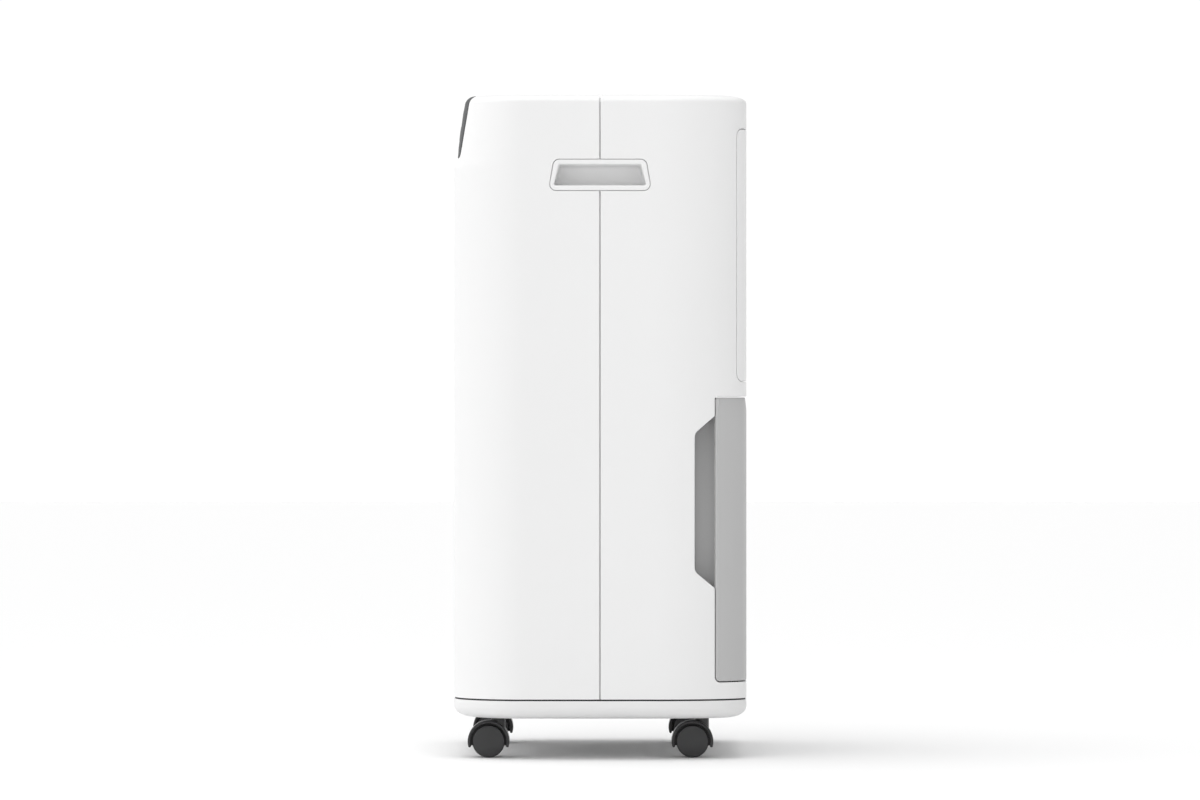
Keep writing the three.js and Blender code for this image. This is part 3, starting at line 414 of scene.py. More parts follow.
# ---- Moulded sheets: a surface cut to an outline, with rolled edges and a wall's thickness ----
class Moulding:
    """Collects sheets, lathed and swept pieces into one mesh."""

    def __init__(self):
        self.points = []
        self.normals = []
        self.faces = []
        self.count = 0

    def add_points(self, points, normals=None):
        first = self.count
        self.points.append(np.asarray(points, float))
        self.normals.append(np.zeros((len(points), 3)) if normals is None else np.asarray(normals, float))
        self.count += len(points)
        return first

    def sheet(self, where, outline, holes=(), grid=((), ()), thick=WALL, roll=ROLL, step=4.0, welded=None,
              normal=None):
        """where(u, v, depth) gives places; welded(p, q) says which edges join a neighbouring sheet."""
        loops = [dense(turned(outline, True), step)] + [dense(turned(h, False), step) for h in holes]
        pairs = [zip(loop, loop[1:] + loop[:1]) for loop in loops]
        flags = [np.array([bool(welded and welded(p, q)) for p, q in pair]) for pair in pairs]
        angles = [math.pi / 2 * k / ROLL_STEPS for k in range(1, ROLL_STEPS + 1)]
        rings = [(roll * (1 - math.sin(a)), roll * (1 - math.cos(a))) for a in angles] + [(0.0, thick)]
        flat_loops = [shifted(loop, roll, flag) for loop, flag in zip(loops, flags)]
        free = np.array([(u, v) for v in grid[1] for u in grid[0]], float).reshape(-1, 2)
        free = free[inside(free, flat_loops)]
        free = free[clear_of(free, flat_loops, step * 0.45)]
        flat = np.concatenate(flat_loops + [free])
        starts = [sum(map(len, loops[:i])) for i in range(len(loops))]
        edges = []
        for first, loop in zip(starts, loops):
            edges += [(first + k, first + (k + 1) % len(loop)) for k in range(len(loop))]
        verts, _, tris, *_ = delaunay_2d_cdt([Vector(p) for p in flat], edges, [], 0, 1e-7)
        if len(verts) != len(flat):
            raise ValueError(f"an outline crosses itself: {len(flat)} points became {len(verts)}")
        tris = np.array(tris)
        tris = tris[inside(flat[tris].mean(1), flat_loops)]
        n_face = normal(flat[:, 0], flat[:, 1]) if normal else None
        top = self.add_points(where(flat[:, 0], flat[:, 1], np.zeros(len(flat))), n_face)
        self.faces += [tuple(int(i) + top for i in t) for t in tris]
        for first, loop, flag in zip(starts, loops, flags):
            count = len(loop)
            previous = top + first
            for distance, depth in rings:
                ring = shifted(loop, distance, flag)
                now = self.add_points(where(ring[:, 0], ring[:, 1], np.full(count, depth)))
                for k in range(count):
                    if not flag[k]:
                        j = (k + 1) % count
                        self.faces.append((previous + k, now + k, now + j, previous + j))
                previous = now
        back = np.concatenate(loops + [free])
        low = self.add_points(where(back[:, 0], back[:, 1], np.full(len(back), thick)))
        self.faces += [tuple(int(i) + low for i in t[::-1]) for t in tris]

    def rings(self, rings, capped=False, loop=False):
        """Quads between rings of the same number of points."""
        count, total = len(rings[0]), len(rings)
        first = self.add_points(np.concatenate([np.asarray(r, float) for r in rings]))
        for i in range(total if loop else total - 1):
            a, b = first + i * count, first + ((i + 1) % total) * count
            for k in range(count):
                j = (k + 1) % count
                self.faces.append((a + k, a + j, b + j, b + k))
        if capped:
            last = first + (total - 1) * count
            self.faces += [tuple(reversed(range(first, first + count))), tuple(range(last, last + count))]

    def object(self, name, body, slot, cad_nodes=(), look=None, weighted=False):
        """Makes the piece, on its body, with the finish of its look or else of its slot, and hides the CAD
        nodes it stands for.
        """
        mesh = bpy.data.meshes.new(name)
        points = np.concatenate(self.points) * MM
        mesh.from_pydata([tuple(p) for p in points], [], self.faces)
        known = mesh.attributes.new("form_normal", "FLOAT_VECTOR", "POINT")
        known.data.foreach_set("vector", np.concatenate(self.normals).ravel())
        edit = bmesh.new()
        edit.from_mesh(mesh)
        bmesh.ops.remove_doubles(edit, verts=edit.verts, dist=2e-6)
        loose = [v for v in edit.verts if not v.link_faces]
        bmesh.ops.delete(edit, geom=loose, context="VERTS")
        bmesh.ops.recalc_face_normals(edit, faces=edit.faces)
        layer = edit.verts.layers.float_vector["form_normal"]
        for face in edit.faces:
            face.smooth = True
        for edge in edit.edges:
            edge.smooth = not (len(edge.link_faces) == 2 and edge.calc_face_angle(0) > SHARP)
        wanted = []
        for face in edit.faces:
            for corner in face.loops:
                known_normal = corner.vert[layer]
                fits = known_normal.length > 0.5 and known_normal.dot(face.normal) > 0.7
                wanted.append(tuple(known_normal) if fits else (0.0, 0.0, 0.0))
        edit.to_mesh(mesh)
        edit.free()
        mesh.attributes.remove(mesh.attributes["form_normal"])
        if any(any(w) for w in wanted):
            mesh.normals_split_custom_set(wanted)
        piece = in_scene(name, mesh)
        mesh.materials.append(FINISHES[look or slot])
        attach(piece, body)
        if cad_nodes:
            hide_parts(*cad_nodes)
        if weighted:
            shading = piece.modifiers.new("weighted_normals", "WEIGHTED_NORMAL")
            shading.keep_sharp = True


def in_scene(name, data):
    """A new object in the scene."""
    made = bpy.data.objects.new(name, data)
    bpy.context.collection.objects.link(made)
    return made


def flat_at(axis, start, sense=1):
    """Places on a flat sheet across an axis, whose depth goes up or down that axis."""

    def where(a, b, depth):
        rows = [a, b]
        rows.insert("xyz".index(axis), start + sense * depth)
        return np.stack(rows, -1)

    return where


def behind(depth):
    """Places deeper in than the skin."""
    return lambda u, v, d: SKIN.at(u, v, d + depth)


def top_normal(x, y):
    return np.tile([0.0, 0.0, 1.0], (len(x), 1))


def spaced(low, high, step):
    return np.linspace(low, high, max(2, int(round((high - low) / step)) + 1))


def runs(*limits):
    """Rising marks from several evenly spaced runs of (low, high, step)."""
    return np.unique(np.concatenate([spaced(*run) for run in limits]))


def plan_columns(skin, low, high, fine=3.2, coarse=14.0):
    """u values between two limits, close together on the corners."""
    bends = [sign * k + lap for k in skin.starts for sign, lap in ((1, 0), (-1, 0), (-1, 2 * skin.half))]
    marks = sorted({low, high, *[k for k in bends if low < k < high]})
    columns = []
    for a, b in zip(marks, marks[1:]):
        middle = abs(((a + b) / 2 + skin.half) % (2 * skin.half) - skin.half)
        curved = skin.starts[1] < middle < skin.starts[2] or skin.starts[3] < middle < skin.starts[4]
        columns.append(spaced(a, b, fine if curved else coarse))
    return np.unique(np.concatenate(columns).round(6))


V_FLAT = SKIN.top_v - FLAT_REACH
TOP_COLUMNS = spaced(-126, 126, 14)
WALL_ROWS = runs((0, V_STEP, 15), (V_STEP, V_SLOPE, 1.6), (V_SLOPE, V_FOOT, 9), (V_FOOT, V_FLAT, 1.7),
                 (V_FLAT, SKIN.top_v, 7))
U_FRONT_SEAM = SKIN.u_side(-SEAM_HALF)
U_REAR_SEAM = SKIN.u_side(SEAM_HALF)
U_BACK = 2 * SKIN.half
on_top = flat_at("z", TOP_Z, -1)


# ---- Materials ----
GLOSS_SPREAD = 0.04
COAT_ROUGHNESS = 0.08
GRAIN_HEIGHT = 0.0002
FINISHES = {}


def set_inputs(node, values):
    for name, value in values.items():
        node.inputs[name].default_value = value
    return node


def map_range(nodes, limits, smooth=False):
    """A range node whose limits are from low, from high, to low and to high."""
    node = nodes.new("ShaderNodeMapRange")
    node.interpolation_type = "SMOOTHSTEP" if smooth else "LINEAR"
    return set_inputs(node, dict(zip(("From Min", "From Max", "To Min", "To Max"), limits)))


def mix_of(nodes, values):
    """A node that mixes two colours."""
    node = nodes.new("ShaderNodeMix")
    node.data_type = "RGBA"
    return set_inputs(node, {name: (*color, 1) for name, color in values.items()})


def finish(name, color, roughness, specular=0.5, metallic=0.0, coat=0.0, grain=0.0, grain_size=900.0,
           mottle=0.03, mottle_size=6.0):
    """Moulded or painted finish: faint tone change, uneven gloss and a fine moulded grain."""
    color = color if isinstance(color, tuple) else (color,) * 3
    made = bpy.data.materials.new(name)
    made.use_nodes = True
    nodes, links = made.node_tree.nodes, made.node_tree.links
    shader = set_inputs(nodes["Principled BSDF"], {
        "Metallic": metallic,
        "Specular IOR Level": specular,
        "Coat Weight": coat,
        "Coat Roughness": COAT_ROUGHNESS,
    })
    place = nodes.new("ShaderNodeTexCoord").outputs["Object"]
    broad = set_inputs(nodes.new("ShaderNodeTexNoise"), {"Scale": mottle_size, "Detail": 3})
    links.new(place, broad.inputs["Vector"])
    tone = mix_of(nodes, {
        "A": [c * (1 - mottle) for c in color],
        "B": [min(1, c * (1 + mottle)) for c in color],
    })
    links.new(broad.outputs["Fac"], tone.inputs["Factor"])
    links.new(tone.outputs["Result"], shader.inputs["Base Color"])
    gloss = map_range(nodes, (0, 1, max(0.02, roughness - GLOSS_SPREAD), roughness + GLOSS_SPREAD))
    links.new(broad.outputs["Fac"], gloss.inputs["Value"])
    links.new(gloss.outputs["Result"], shader.inputs["Roughness"])
    if grain:
        fine = set_inputs(nodes.new("ShaderNodeTexNoise"), {"Scale": grain_size, "Detail": 2})
        links.new(place, fine.inputs["Vector"])
        bump = set_inputs(nodes.new("ShaderNodeBump"), {"Strength": grain, "Distance": GRAIN_HEIGHT})
        links.new(fine.outputs["Fac"], bump.inputs["Height"])
        links.new(bump.outputs["Normal"], shader.inputs["Normal"])
    FINISHES[name] = made


finish("white_casing", 0.83, 0.36, grain=0.10, mottle=0.006)
finish("handle_white", 0.83, 0.32, grain=0.06, mottle=0.006)
finish("tank_grey", 0.49, 0.38, grain=0.12, mottle=0.012)
finish("fascia_grey", (0.085, 0.087, 0.09), 0.5, specular=0.12, mottle=0.02)
finish("display_black", (0.006, 0.007, 0.008), 0.08, mottle=0.1)
finish("button_grey", (0.14, 0.142, 0.146), 0.35, grain=0.1)
finish("caster_black", (0.018, 0.018, 0.019), 0.32, grain=0.25, grain_size=700)
finish("wheel_black", (0.028, 0.028, 0.029), 0.36, grain=0.3, grain_size=600)
finish("steel", (0.55, 0.56, 0.58), 0.3, metallic=1.0, mottle=0.08, mottle_size=60)
finish("black_steel", (0.02, 0.02, 0.022), 0.4, coat=0.3, grain=0.3, grain_size=300)
finish("switch_black", 0.02, 0.45)
finish("copper", (0.72, 0.35, 0.2), 0.28, metallic=1.0, mottle=0.15, mottle_size=40)
finish("aluminium", (0.62, 0.64, 0.66), 0.35, metallic=1.0, mottle=0.06, mottle_size=50)
finish("inner_plastic", (0.62, 0.63, 0.64), 0.5, grain=0.15)
finish("rubber", 0.02, 0.7, grain=0.3, grain_size=500)
finish("circuit_board", (0.02, 0.13, 0.06), 0.4, mottle=0.2, mottle_size=200)
finish("filter_net", (0.05, 0.052, 0.055), 0.6)
# A darker copy of the casing white for the base tray: painted shade standing in for the darker foot of the
# body.
finish("tray_white_painted_shade", 0.79, 0.36, grain=0.10, mottle=0.006)
# A lighter copy of the tank grey for the bucket wall seen in the grip pockets: painted light that brightens
# the shaded pockets.
finish("tank_grey_painted_light", 0.72, 0.4, grain=0.1)
FINISHES["tank_clear"] = FINISHES["tank_grey"]


def dress_cad_nodes():
    for part in frame["record"]["subparts"]:
        worn = frame["nodes"][part["node"]].data.materials
        worn.clear()
        worn.append(FINISHES[part["material_slot"]])


# ---- Camera, floor and light ----
def make_camera():
    data = bpy.data.cameras.new("camera")
    data.lens = LENS
    data.sensor_width = 36
    data.clip_end = 50
    camera = in_scene("camera", data)
    camera.location = (CAMERA_X, 0, CAMERA_Z)
    camera.rotation_euler = (math.pi / 2, 0, math.pi / 2)
    bpy.context.scene.camera = camera


def make_floor():
    mesh = bpy.data.meshes.new("floor")
    corners = rectangle(-FLOOR_REACH, FLOOR_REACH, -FLOOR_REACH, FLOOR_REACH)
    mesh.from_pydata([(x, y, 0) for x, y in corners], [], [(0, 1, 2, 3)])
    paint = bpy.data.materials.new("floor")
    paint.use_nodes = True
    set_inputs(paint.node_tree.nodes["Principled BSDF"], {
        "Base Color": (FLOOR_TONE, FLOOR_TONE, FLOOR_TONE, 1),
        "Roughness": 0.9,
        "Specular IOR Level": 0.1,
    })
    mesh.materials.append(paint)
    in_scene("floor", mesh)


def make_sky():
    """A white studio: bright overhead, brighter low down in front than behind, and an even white horizon."""
    world = bpy.data.worlds.new("studio")
    world.use_nodes = True
    nodes, links = world.node_tree.nodes, world.node_tree.links
    toward = nodes.new("ShaderNodeTexCoord")
    axes = nodes.new("ShaderNodeSeparateXYZ")
    links.new(toward.outputs["Generated"], axes.inputs["Vector"])

    def ranged(source, *limits, smooth=False):
        node = map_range(nodes, limits, smooth)
        links.new(source, node.inputs["Value"])
        return node.outputs["Result"]

    def combined(operation, *sources):
        node = nodes.new("ShaderNodeMath")
        node.operation = operation
        for socket, source in zip(node.inputs, sources):
            links.new(source, socket)
        return node.outputs["Value"]

    height = combined("ABSOLUTE", axes.outputs["Z"])
    low = ranged(axes.outputs["Y"], -1, 1, LOW_FRONT, LOW_REAR)
    band = ranged(height, BAND_LOW, BAND_HIGH, 1, 0, smooth=True)
    dome = ranged(height, 0, 1, DOME_FOOT, DOME_TOP)
    lean = ranged(axes.outputs["Y"], -1, 1, DOME_FRONT, DOME_REAR)
    sky = combined("ADD", combined("MULTIPLY", low, band), combined("MULTIPLY", dome, lean))
    mix = mix_of(nodes, {"A": [HORIZON_LEVEL] * 3})
    links.new(ranged(height, HORIZON_LOW, HORIZON_HIGH, 0, 1, smooth=True), mix.inputs["Factor"])
    links.new(sky, mix.inputs["B"])
    links.new(mix.outputs["Result"], nodes["Background"].inputs["Color"])
    bpy.context.scene.world = world


def make_light():
    make_sky()
    data = bpy.data.lights.new("overhead_softbox", "AREA")
    data.shape = "RECTANGLE"
    data.size = data.size_y = SOFTBOX_SIDE
    data.energy = SOFTBOX_POWER
    lamp = in_scene("overhead_softbox", data)
    lamp.location = SOFTBOX_AT
    lamp.rotation_euler = (Vector(SOFTBOX_AIM) - Vector(SOFTBOX_AT)).to_track_quat("-Z", "Y").to_euler()
    bpy.context.scene.view_settings.view_transform = "Standard"


# ---- Casing ----
def handle_outline(grow):
    """The side recess's outline as (y, z), moved in or out, always with the same number of points."""
    z0, z1, low, top = CUP_Z0 - grow, CUP_Z1 + grow, CUP_HALF_LOW + grow, CUP_HALF_TOP + grow
    corners = [(-low, z0), (low, z0), (top, z1), (-top, z1)]
    return rounded(corners, max(CUP_R + grow, CUP_LEAST_R), 8)


def fascia_outline(grow):
    """The fascia's outline as (u, v), symmetrical about u = 0."""
    slope = (FASCIA_HALF_FOOT - FASCIA_HALF_LOW) / (V_FOOT - V_SLOPE)

    def side_u(v):
        return FASCIA_HALF_LOW + slope * (v - V_SLOPE)

    def v_at_tip(path):
        """How far up a path u(v) reaches the fascia's rear edge."""
        low, high = V_FOOT - 20, SKIN.top_v
        for _ in range(40):
            middle = (low + high) / 2
            short = SKIN.base(path(middle), middle)[1] < FASCIA_HIGH.y
            low, high = (middle, high) if short else (low, middle)
        return low

    half, lead, rise = FASCIA_HALF_LOW, 8, 30
    foot = [(-half - lead, V_SLOPE + rise), (-half, V_SLOPE), (half, V_SLOPE), (half + lead, V_SLOPE + rise)]
    u_corner = side_u(v_at_tip(side_u))
    top = [(u, v_at_tip(lambda v, u=u: abs(u))) for u in np.linspace(u_corner, -u_corner, 61)]
    points = rounded(foot, [0, 6, 6, 0])[1:-1] + top
    return [tuple(p) for p in shifted(turned(points, True), -grow)]


def panel_outline(grow):
    """The intake panel's outline as (u, v)."""
    u0 = SKIN.u_at_x(PANEL_HIGH.x) - grow
    v0, v1 = v_of(PANEL_LOW.z) - grow, v_of(PANEL_HIGH.z) + grow
    return rounded(rectangle(u0, U_BACK - u0, v0, v1), max(PANEL_R + grow, 2.0))


def seam_edge(u_seam, in_front):
    """The path up a seam, stepping round the front or rear half of the handle recess."""
    notch = np.array([(SKIN.u_side(y), v_of(z)) for y, z in handle_outline(0.5)])
    part = notch[notch[:, 0] < u_seam] if in_front else notch[notch[:, 0] > u_seam]
    order = np.argsort(np.arctan2(part[:, 1] - notch[:, 1].mean(), np.abs(part[:, 0] - u_seam)))
    low_v, high_v = float(notch[:, 1].min()), float(notch[:, 1].max())
    return [(u_seam, 0.0), (u_seam, low_v), *map(tuple, part[order]), (u_seam, high_v), (u_seam, SKIN.top_v)]


def mirrored(path, u_sum):
    """A path and its mirror image joined as one outline."""
    return path + [(u_sum - u, v) for u, v in reversed(path)]


def joins_top(p, q):
    """Whether an edge of a wall sheet is the one along the flat top."""
    return SKIN.top_v - min(p[1], q[1]) < TINY


def joins_wall(seam_y):
    """A test for the top sheet's edges on the rim, not those on the seam or round the outlet."""

    def welded(p, q):
        x, y = (p[0] + q[0]) / 2, (p[1] + q[1]) / 2
        on_seam = max(abs(p[1] - seam_y), abs(q[1] - seam_y)) < TINY
        at_outlet = abs(x) < GRILLE_HIGH.x - 2 and GRILLE_LOW.y + 2 < y < GRILLE_HIGH.y - 2
        return not (on_seam or at_outlet)

    return welded


def shell_sheets(made, outline, holes, u_ends, top_holes, top_grid, seam_y, step):
    """One half of the casing: its wall and crown, and its part of the flat top with the same rim."""
    made.sheet(SKIN.at, outline, holes, grid=(plan_columns(SKIN, min(u_ends), max(u_ends)), WALL_ROWS),
               welded=joins_top, normal=SKIN.normal, step=step)
    parts = math.ceil(abs(u_ends[1] - u_ends[0]) / step - TINY)
    rim = [tuple(p[:2]) for p in SKIN.base(np.linspace(*u_ends, parts + 1), SKIN.top_v)]
    made.sheet(on_top, rim, top_holes, grid=top_grid, welded=joins_wall(seam_y), normal=top_normal, step=step)


def grille_plate(inset, radius, steps=6):
    """A rounded rectangle inside the outlet grille's edge."""
    low, high = GRILLE_LOW, GRILLE_HIGH
    return rounded(rectangle(low.x + inset, high.x - inset, low.y + inset, high.y - inset), radius, steps)


def make_front_casing():
    made = Moulding()
    right = seam_edge(U_FRONT_SEAM, True)
    shell_sheets(made, mirrored(right, 0), [fascia_outline(0.35)], (U_FRONT_SEAM, -U_FRONT_SEAM),
                 [grille_plate(3.5, 7.5)], (TOP_COLUMNS, spaced(-95, -6, 8)), -SEAM_HALF, 4.0)
    seam_lip(made)
    opening = rounded(rectangle(-BOARD_HALF_X, BOARD_HALF_X, v_of(BOARD_LOW_Z), v_of(BOARD_HIGH_Z)), 6)
    made.sheet(behind(LEDGE_DEPTH), fascia_outline(3.0), [opening], thick=1.8, roll=0.2, step=6.0)
    made.object("front_shell", "housing", "white_casing", ["front_casing"])


def seam_lip(made):
    """The tongue of the front half that reaches behind the rear half's edge."""
    y_low, y_high = -5, 4
    low, high = SKIN.u_side(y_low), SKIN.u_side(y_high)
    for side in (1, -1):
        for v0, v1 in ((3.5, v_of(CUP_LOW.z - 0.3)), (v_of(CUP_HIGH.z + 0.3), SKIN.top_v)):
            made.sheet(behind(LIP_DEPTH), rectangle(side * low, side * high, v0, v1),
                       grid=([side * (low + high) / 2], WALL_ROWS), thick=LIP_THICK, roll=0.3, step=5)
    made.sheet(flat_at("z", TOP_Z - LIP_DEPTH, -1), rectangle(-133, 133, y_low, y_high), thick=LIP_THICK,
               roll=0.3, step=8)


def make_rear_casing():
    made = Moulding()
    right = seam_edge(U_REAR_SEAM, False)
    edge = [(SKIN.u_rear_corner_y(y), v_of(z)) for y, z in dense(grip_path(), 2.0, closed=False)]
    drain = circle(U_BACK - SKIN.u_side(DRAIN_Y), v_of(DRAIN_Z), DRAIN_R, 32)
    gland = circle(SKIN.half + GLAND_X, v_of(GLAND_Z), GLAND_R, 24)
    holes = [mirrored(edge, U_BACK), panel_outline(0.8), drain, gland]
    shell_sheets(made, mirrored(right, U_BACK), holes, (U_REAR_SEAM, U_BACK - U_REAR_SEAM), [],
                 (TOP_COLUMNS, spaced(8, 80, 12)), SEAM_HALF, 3.0)
    grip_walls(made)
    made.sheet(behind(LEDGE_DEPTH), panel_outline(6.0), [panel_outline(-8.0)], thick=2.1, roll=0.2, step=6.0)
    made.object("rear_shell", "housing", "white_casing", ["rear_casing"])


def grip_path():
    """The right-hand edge of the tank bay's mouth from top to bottom, as (y, z)."""
    z0, z1 = TANK_LOW.z - 1, TANK_HIGH.z + 1
    far = MOUTH_Y + 8
    closed = [(far, z1), (MOUTH_Y, z1), *GRIP, (MOUTH_Y, z0), (far, z0)]
    return rounded(closed, [0, 2.5, 2.0, 8.0, 8.0, 2.0, 5.0, 0])


def grip_walls(made):
    """The grip pockets' walls, from inside the shell to beside the bucket."""
    path = np.array(dense(rounded(GRIP, [0, 8.0, 8.0, 0]), 2.0, closed=False))
    ahead = np.gradient(path, axis=0)
    ahead /= np.linalg.norm(ahead, axis=1, keepdims=True)
    out = np.stack([ahead[:, 1], -ahead[:, 0]], 1)
    near_x = np.full(len(path), BUCKET_HIGH.x + 2.5)
    far_x = np.array([SKIN.base(SKIN.u_rear_corner_y(y), BAY_V)[0] - 1.3 for y in path[:, 0]])
    corners = ((near_x, 0.05), (far_x, 0.05), (far_x, 2.0), (near_x, 2.0))
    for side in (1, -1):
        rows = [np.column_stack([side * x, path + out * grow]) for x, grow in corners]
        made.rings(np.stack(rows, 1), capped=True)


# ---- Turned and swept forms ----
def circle(cx, cy, radius, count):
    turns = [2 * math.pi * k / count for k in range(count)]
    return [(cx + radius * math.cos(a), cy + radius * math.sin(a)) for a in turns]


def arc_points(centre, radius, from_deg, to_deg, steps=6):
    angles = [math.radians(from_deg + (to_deg - from_deg) * k / steps) for k in range(steps + 1)]
    return [(centre[0] + radius * math.cos(a), centre[1] + radius * math.sin(a)) for a in angles]


def lathe_rings(profile, steps=48, axis="z", at=(0, 0, 0)):
    """Rings of a turned form: each profile point is (radius, place along the axis)."""
    angle = np.arange(steps) * 2 * math.pi / steps
    rings = []
    for radius, along in profile:
        a, b, c = radius * np.cos(angle), radius * np.sin(angle), np.full(steps, float(along))
        ring = {"x": (c, a, b), "y": (b, c, a), "z": (a, b, c)}[axis]
        rings.append(np.stack(ring, -1) + np.asarray(at, float))
    return rings


def tube_rings(route, radius, sides=12):
    """Rings of a round tube that follows a smooth curve through the route's points."""
    pts = np.asarray(route, float)
    padded = np.concatenate([[2 * pts[0] - pts[1]], pts, [2 * pts[-1] - pts[-2]]])
    path = []
    for i in range(len(pts) - 1):
        p0, p1, p2, p3 = padded[i:i + 4]
        for t in np.linspace(0, 1, 9)[: None if i == len(pts) - 2 else -1]:
            path.append(0.5 * (2 * p1 + (p2 - p0) * t + (2 * p0 - 5 * p1 + 4 * p2 - p3) * t**2
                               + (3 * p1 - p0 - 3 * p2 + p3) * t**3))
    path = np.asarray(path)
    ahead = np.gradient(path, axis=0)
    ahead /= np.linalg.norm(ahead, axis=1, keepdims=True)
    side = np.cross(ahead[0], [0.3, 0.2, 1.0])
    rings = []
    angle = np.arange(sides) * 2 * math.pi / sides
    for centre, direction in zip(path, ahead):
        side = side - direction * (side @ direction)
        side /= np.linalg.norm(side)
        up = np.cross(direction, side)
        rings.append(centre + radius * (np.cos(angle)[:, None] * side + np.sin(angle)[:, None] * up))
    return rings


# ---- Base tray ----
def make_base_tray():
    columns = plan_columns(TRAY, -TRAY.half, TRAY.half, 3.2, 12)[:-1]
    top_v = TRAY.top_v

    def level(inset, z):
        ring = TRAY.at(columns, top_v, inset)
        ring[:, 2] = z
        return ring

    rows = runs((0, 10, 10), (10, top_v - 6, 1.8), (top_v - 4, top_v - ROLL, 3.5))
    edge = [(top_v - ROLL + rise, ROLL - run) for run, rise in arc_points((0, 0), ROLL, 0, 90, 3)[1:]]
    rings = [TRAY.at(columns, v, depth) for v, depth in [(v, 0.0) for v in rows] + edge]
    rim_z = TRAY_HIGH.z
    inside_rim = ((RIM_OUT, TRAY_TOP_Z), (RIM_OUT, rim_z - RIM_BEVEL), (RIM_OUT + RIM_BEVEL, rim_z),
                  (RIM_IN - RIM_BEVEL, rim_z), (RIM_IN, rim_z - RIM_BEVEL), (RIM_IN, 48.5), (6.5, 46.5),
                  (14.0, TRAY_FLOOR_Z))
    made = Moulding()
    made.rings(rings + [level(*at) for at in inside_rim], capped=True)
    boss = [(4.4, TRAY_FLOOR_Z), (8.5, TRAY_FLOOR_Z), (8.5, 57.5), (8.0, 58.0), (4.9, 58.0), (4.4, 57.5)]
    for x in (STEM_X, -STEM_X):
        for y in (STEM_Y, -STEM_Y):
            made.rings(lathe_rings(boss, 32, "z", (x, y, 0)), loop=True)
    foot = [(0, TRAY_FLOOR_Z), (9.0, TRAY_FLOOR_Z), (9.0, 54.0), (8.5, 54.5), (0, 54.5)]
    for tag in (1, 2, 3):
        x, y, _ = middle_mm(f"compressor_grommet_{tag}")
        made.rings(lathe_rings(foot, 32, "z", (x, y, 0)))
    # The tray's look is the darker copy of the casing white, which is painted shade.
    made.object("base_tray_shell", "housing", "white_casing", ["base_tray"], "tray_white_painted_shade")

    # A near-black ring set back in the gap between tray and casing: painted shade that makes the seam read as
    # a dark line.
    low_z, high_z = TRAY_TOP_Z + 0.05, WALL_LOW_Z - 0.05
    made = Moulding()
    made.rings([level(*at) for at in ((1.0, low_z), (1.0, high_z), (2.85, high_z), (2.85, low_z))], loop=True)
    made.object("tray_seam_painted_shade", "housing", "rubber")


# ---- Handles ----
def make_handle(side, sign):
    """A recessed hand hold: bezel flush with the side, drafted walls and a rounded floor."""
    face = HALF_W
    deep = face - CUP_DEEP
    bevel, lead, floor_r = 0.7, 1.5, 3.0
    back = [(-9.0, deep), (-5.4, deep), (-3.6, deep + 2.5), (-2.4, face - 5.2), (4.3, face - 5.2),
            (4.3, face - 2.9), (0.0, face - 2.9)]
    bezel = [(0.0, face - 3.4), (0.0, face - bevel), *arc_points((-bevel, face - bevel), bevel, 0, 90, 4)[1:]]
    lead_in = arc_points((lead - 4.4, face - lead), lead, 90, 180, 5)
    floor = [(-5.3, deep + 5.5), *arc_points((-5.4 - floor_r, deep + 2 + floor_r), floor_r, 0, -90, 5)]
    rings = [[(sign * x, sign * y, z) for y, z in handle_outline(grow)]
             for grow, x in back + bezel + lead_in + floor]
    made = Moulding()
    made.rings(rings, capped=True)
    made.object(f"handle_cup_{side}", "housing", "handle_white", [f"handle_{side}"], weighted=True)


# ---- Control fascia, display and buttons ----
SLOPE_OUT = np.array([0, -math.cos(SLOPE_TILT), math.sin(SLOPE_TILT)])
SLOPE_UP = np.array([0, math.sin(SLOPE_TILT), math.cos(SLOPE_TILT)])
SLOPE_Y = -HALF_D + SLOPE_LOW_INSET + (BUTTON_Z - SLOPE_LOW_Z) * math.tan(SLOPE_TILT)
SLOPE_ORIGIN = np.array([0, SLOPE_Y, BUTTON_Z]) + FASCIA_PROUD * SLOPE_OUT
BUTTONS = [f"button_{i}" for i in range(1, 7)]


def on_fascia(u, v, depth):
    """The fascia's face, which stands a little proud except along its upper and lower edges."""
    z = np.asarray(v, float) + WALL_LOW_Z
    rise = np.clip((z - SLOPE_LOW_Z - 1) / 9, 0, 1) * np.clip((TOP_Z - 9 - z) / 8, 0, 1)
    return SKIN.at(u, v, np.asarray(depth) - FASCIA_PROUD * rise**2 * (3 - 2 * rise))


def on_slope(x, up, depth):
    """A place on the fascia's sloping face, from its middle."""
    x, up, depth = (side[..., None] for side in np.broadcast_arrays(x, up, np.asarray(depth, float)))
    return SLOPE_ORIGIN + x * np.array([1.0, 0, 0]) + up * SLOPE_UP - depth * SLOPE_OUT


def slope_to_uv(points):
    """An outline on the sloping face as (u, v)."""
    share = (V_FOOT - V_SLOPE) / (SLOPE_TANGENT_Z - SLOPE_LOW_Z)
    return [(x, V_SLOPE + share * (BUTTON_Z + up * math.cos(SLOPE_TILT) - SLOPE_LOW_Z)) for x, up in points]


def window_outline(grow, radius):
    x, up = WINDOW_X + grow, WINDOW_UP + grow
    return rounded(rectangle(-x, x, -up, up), radius)


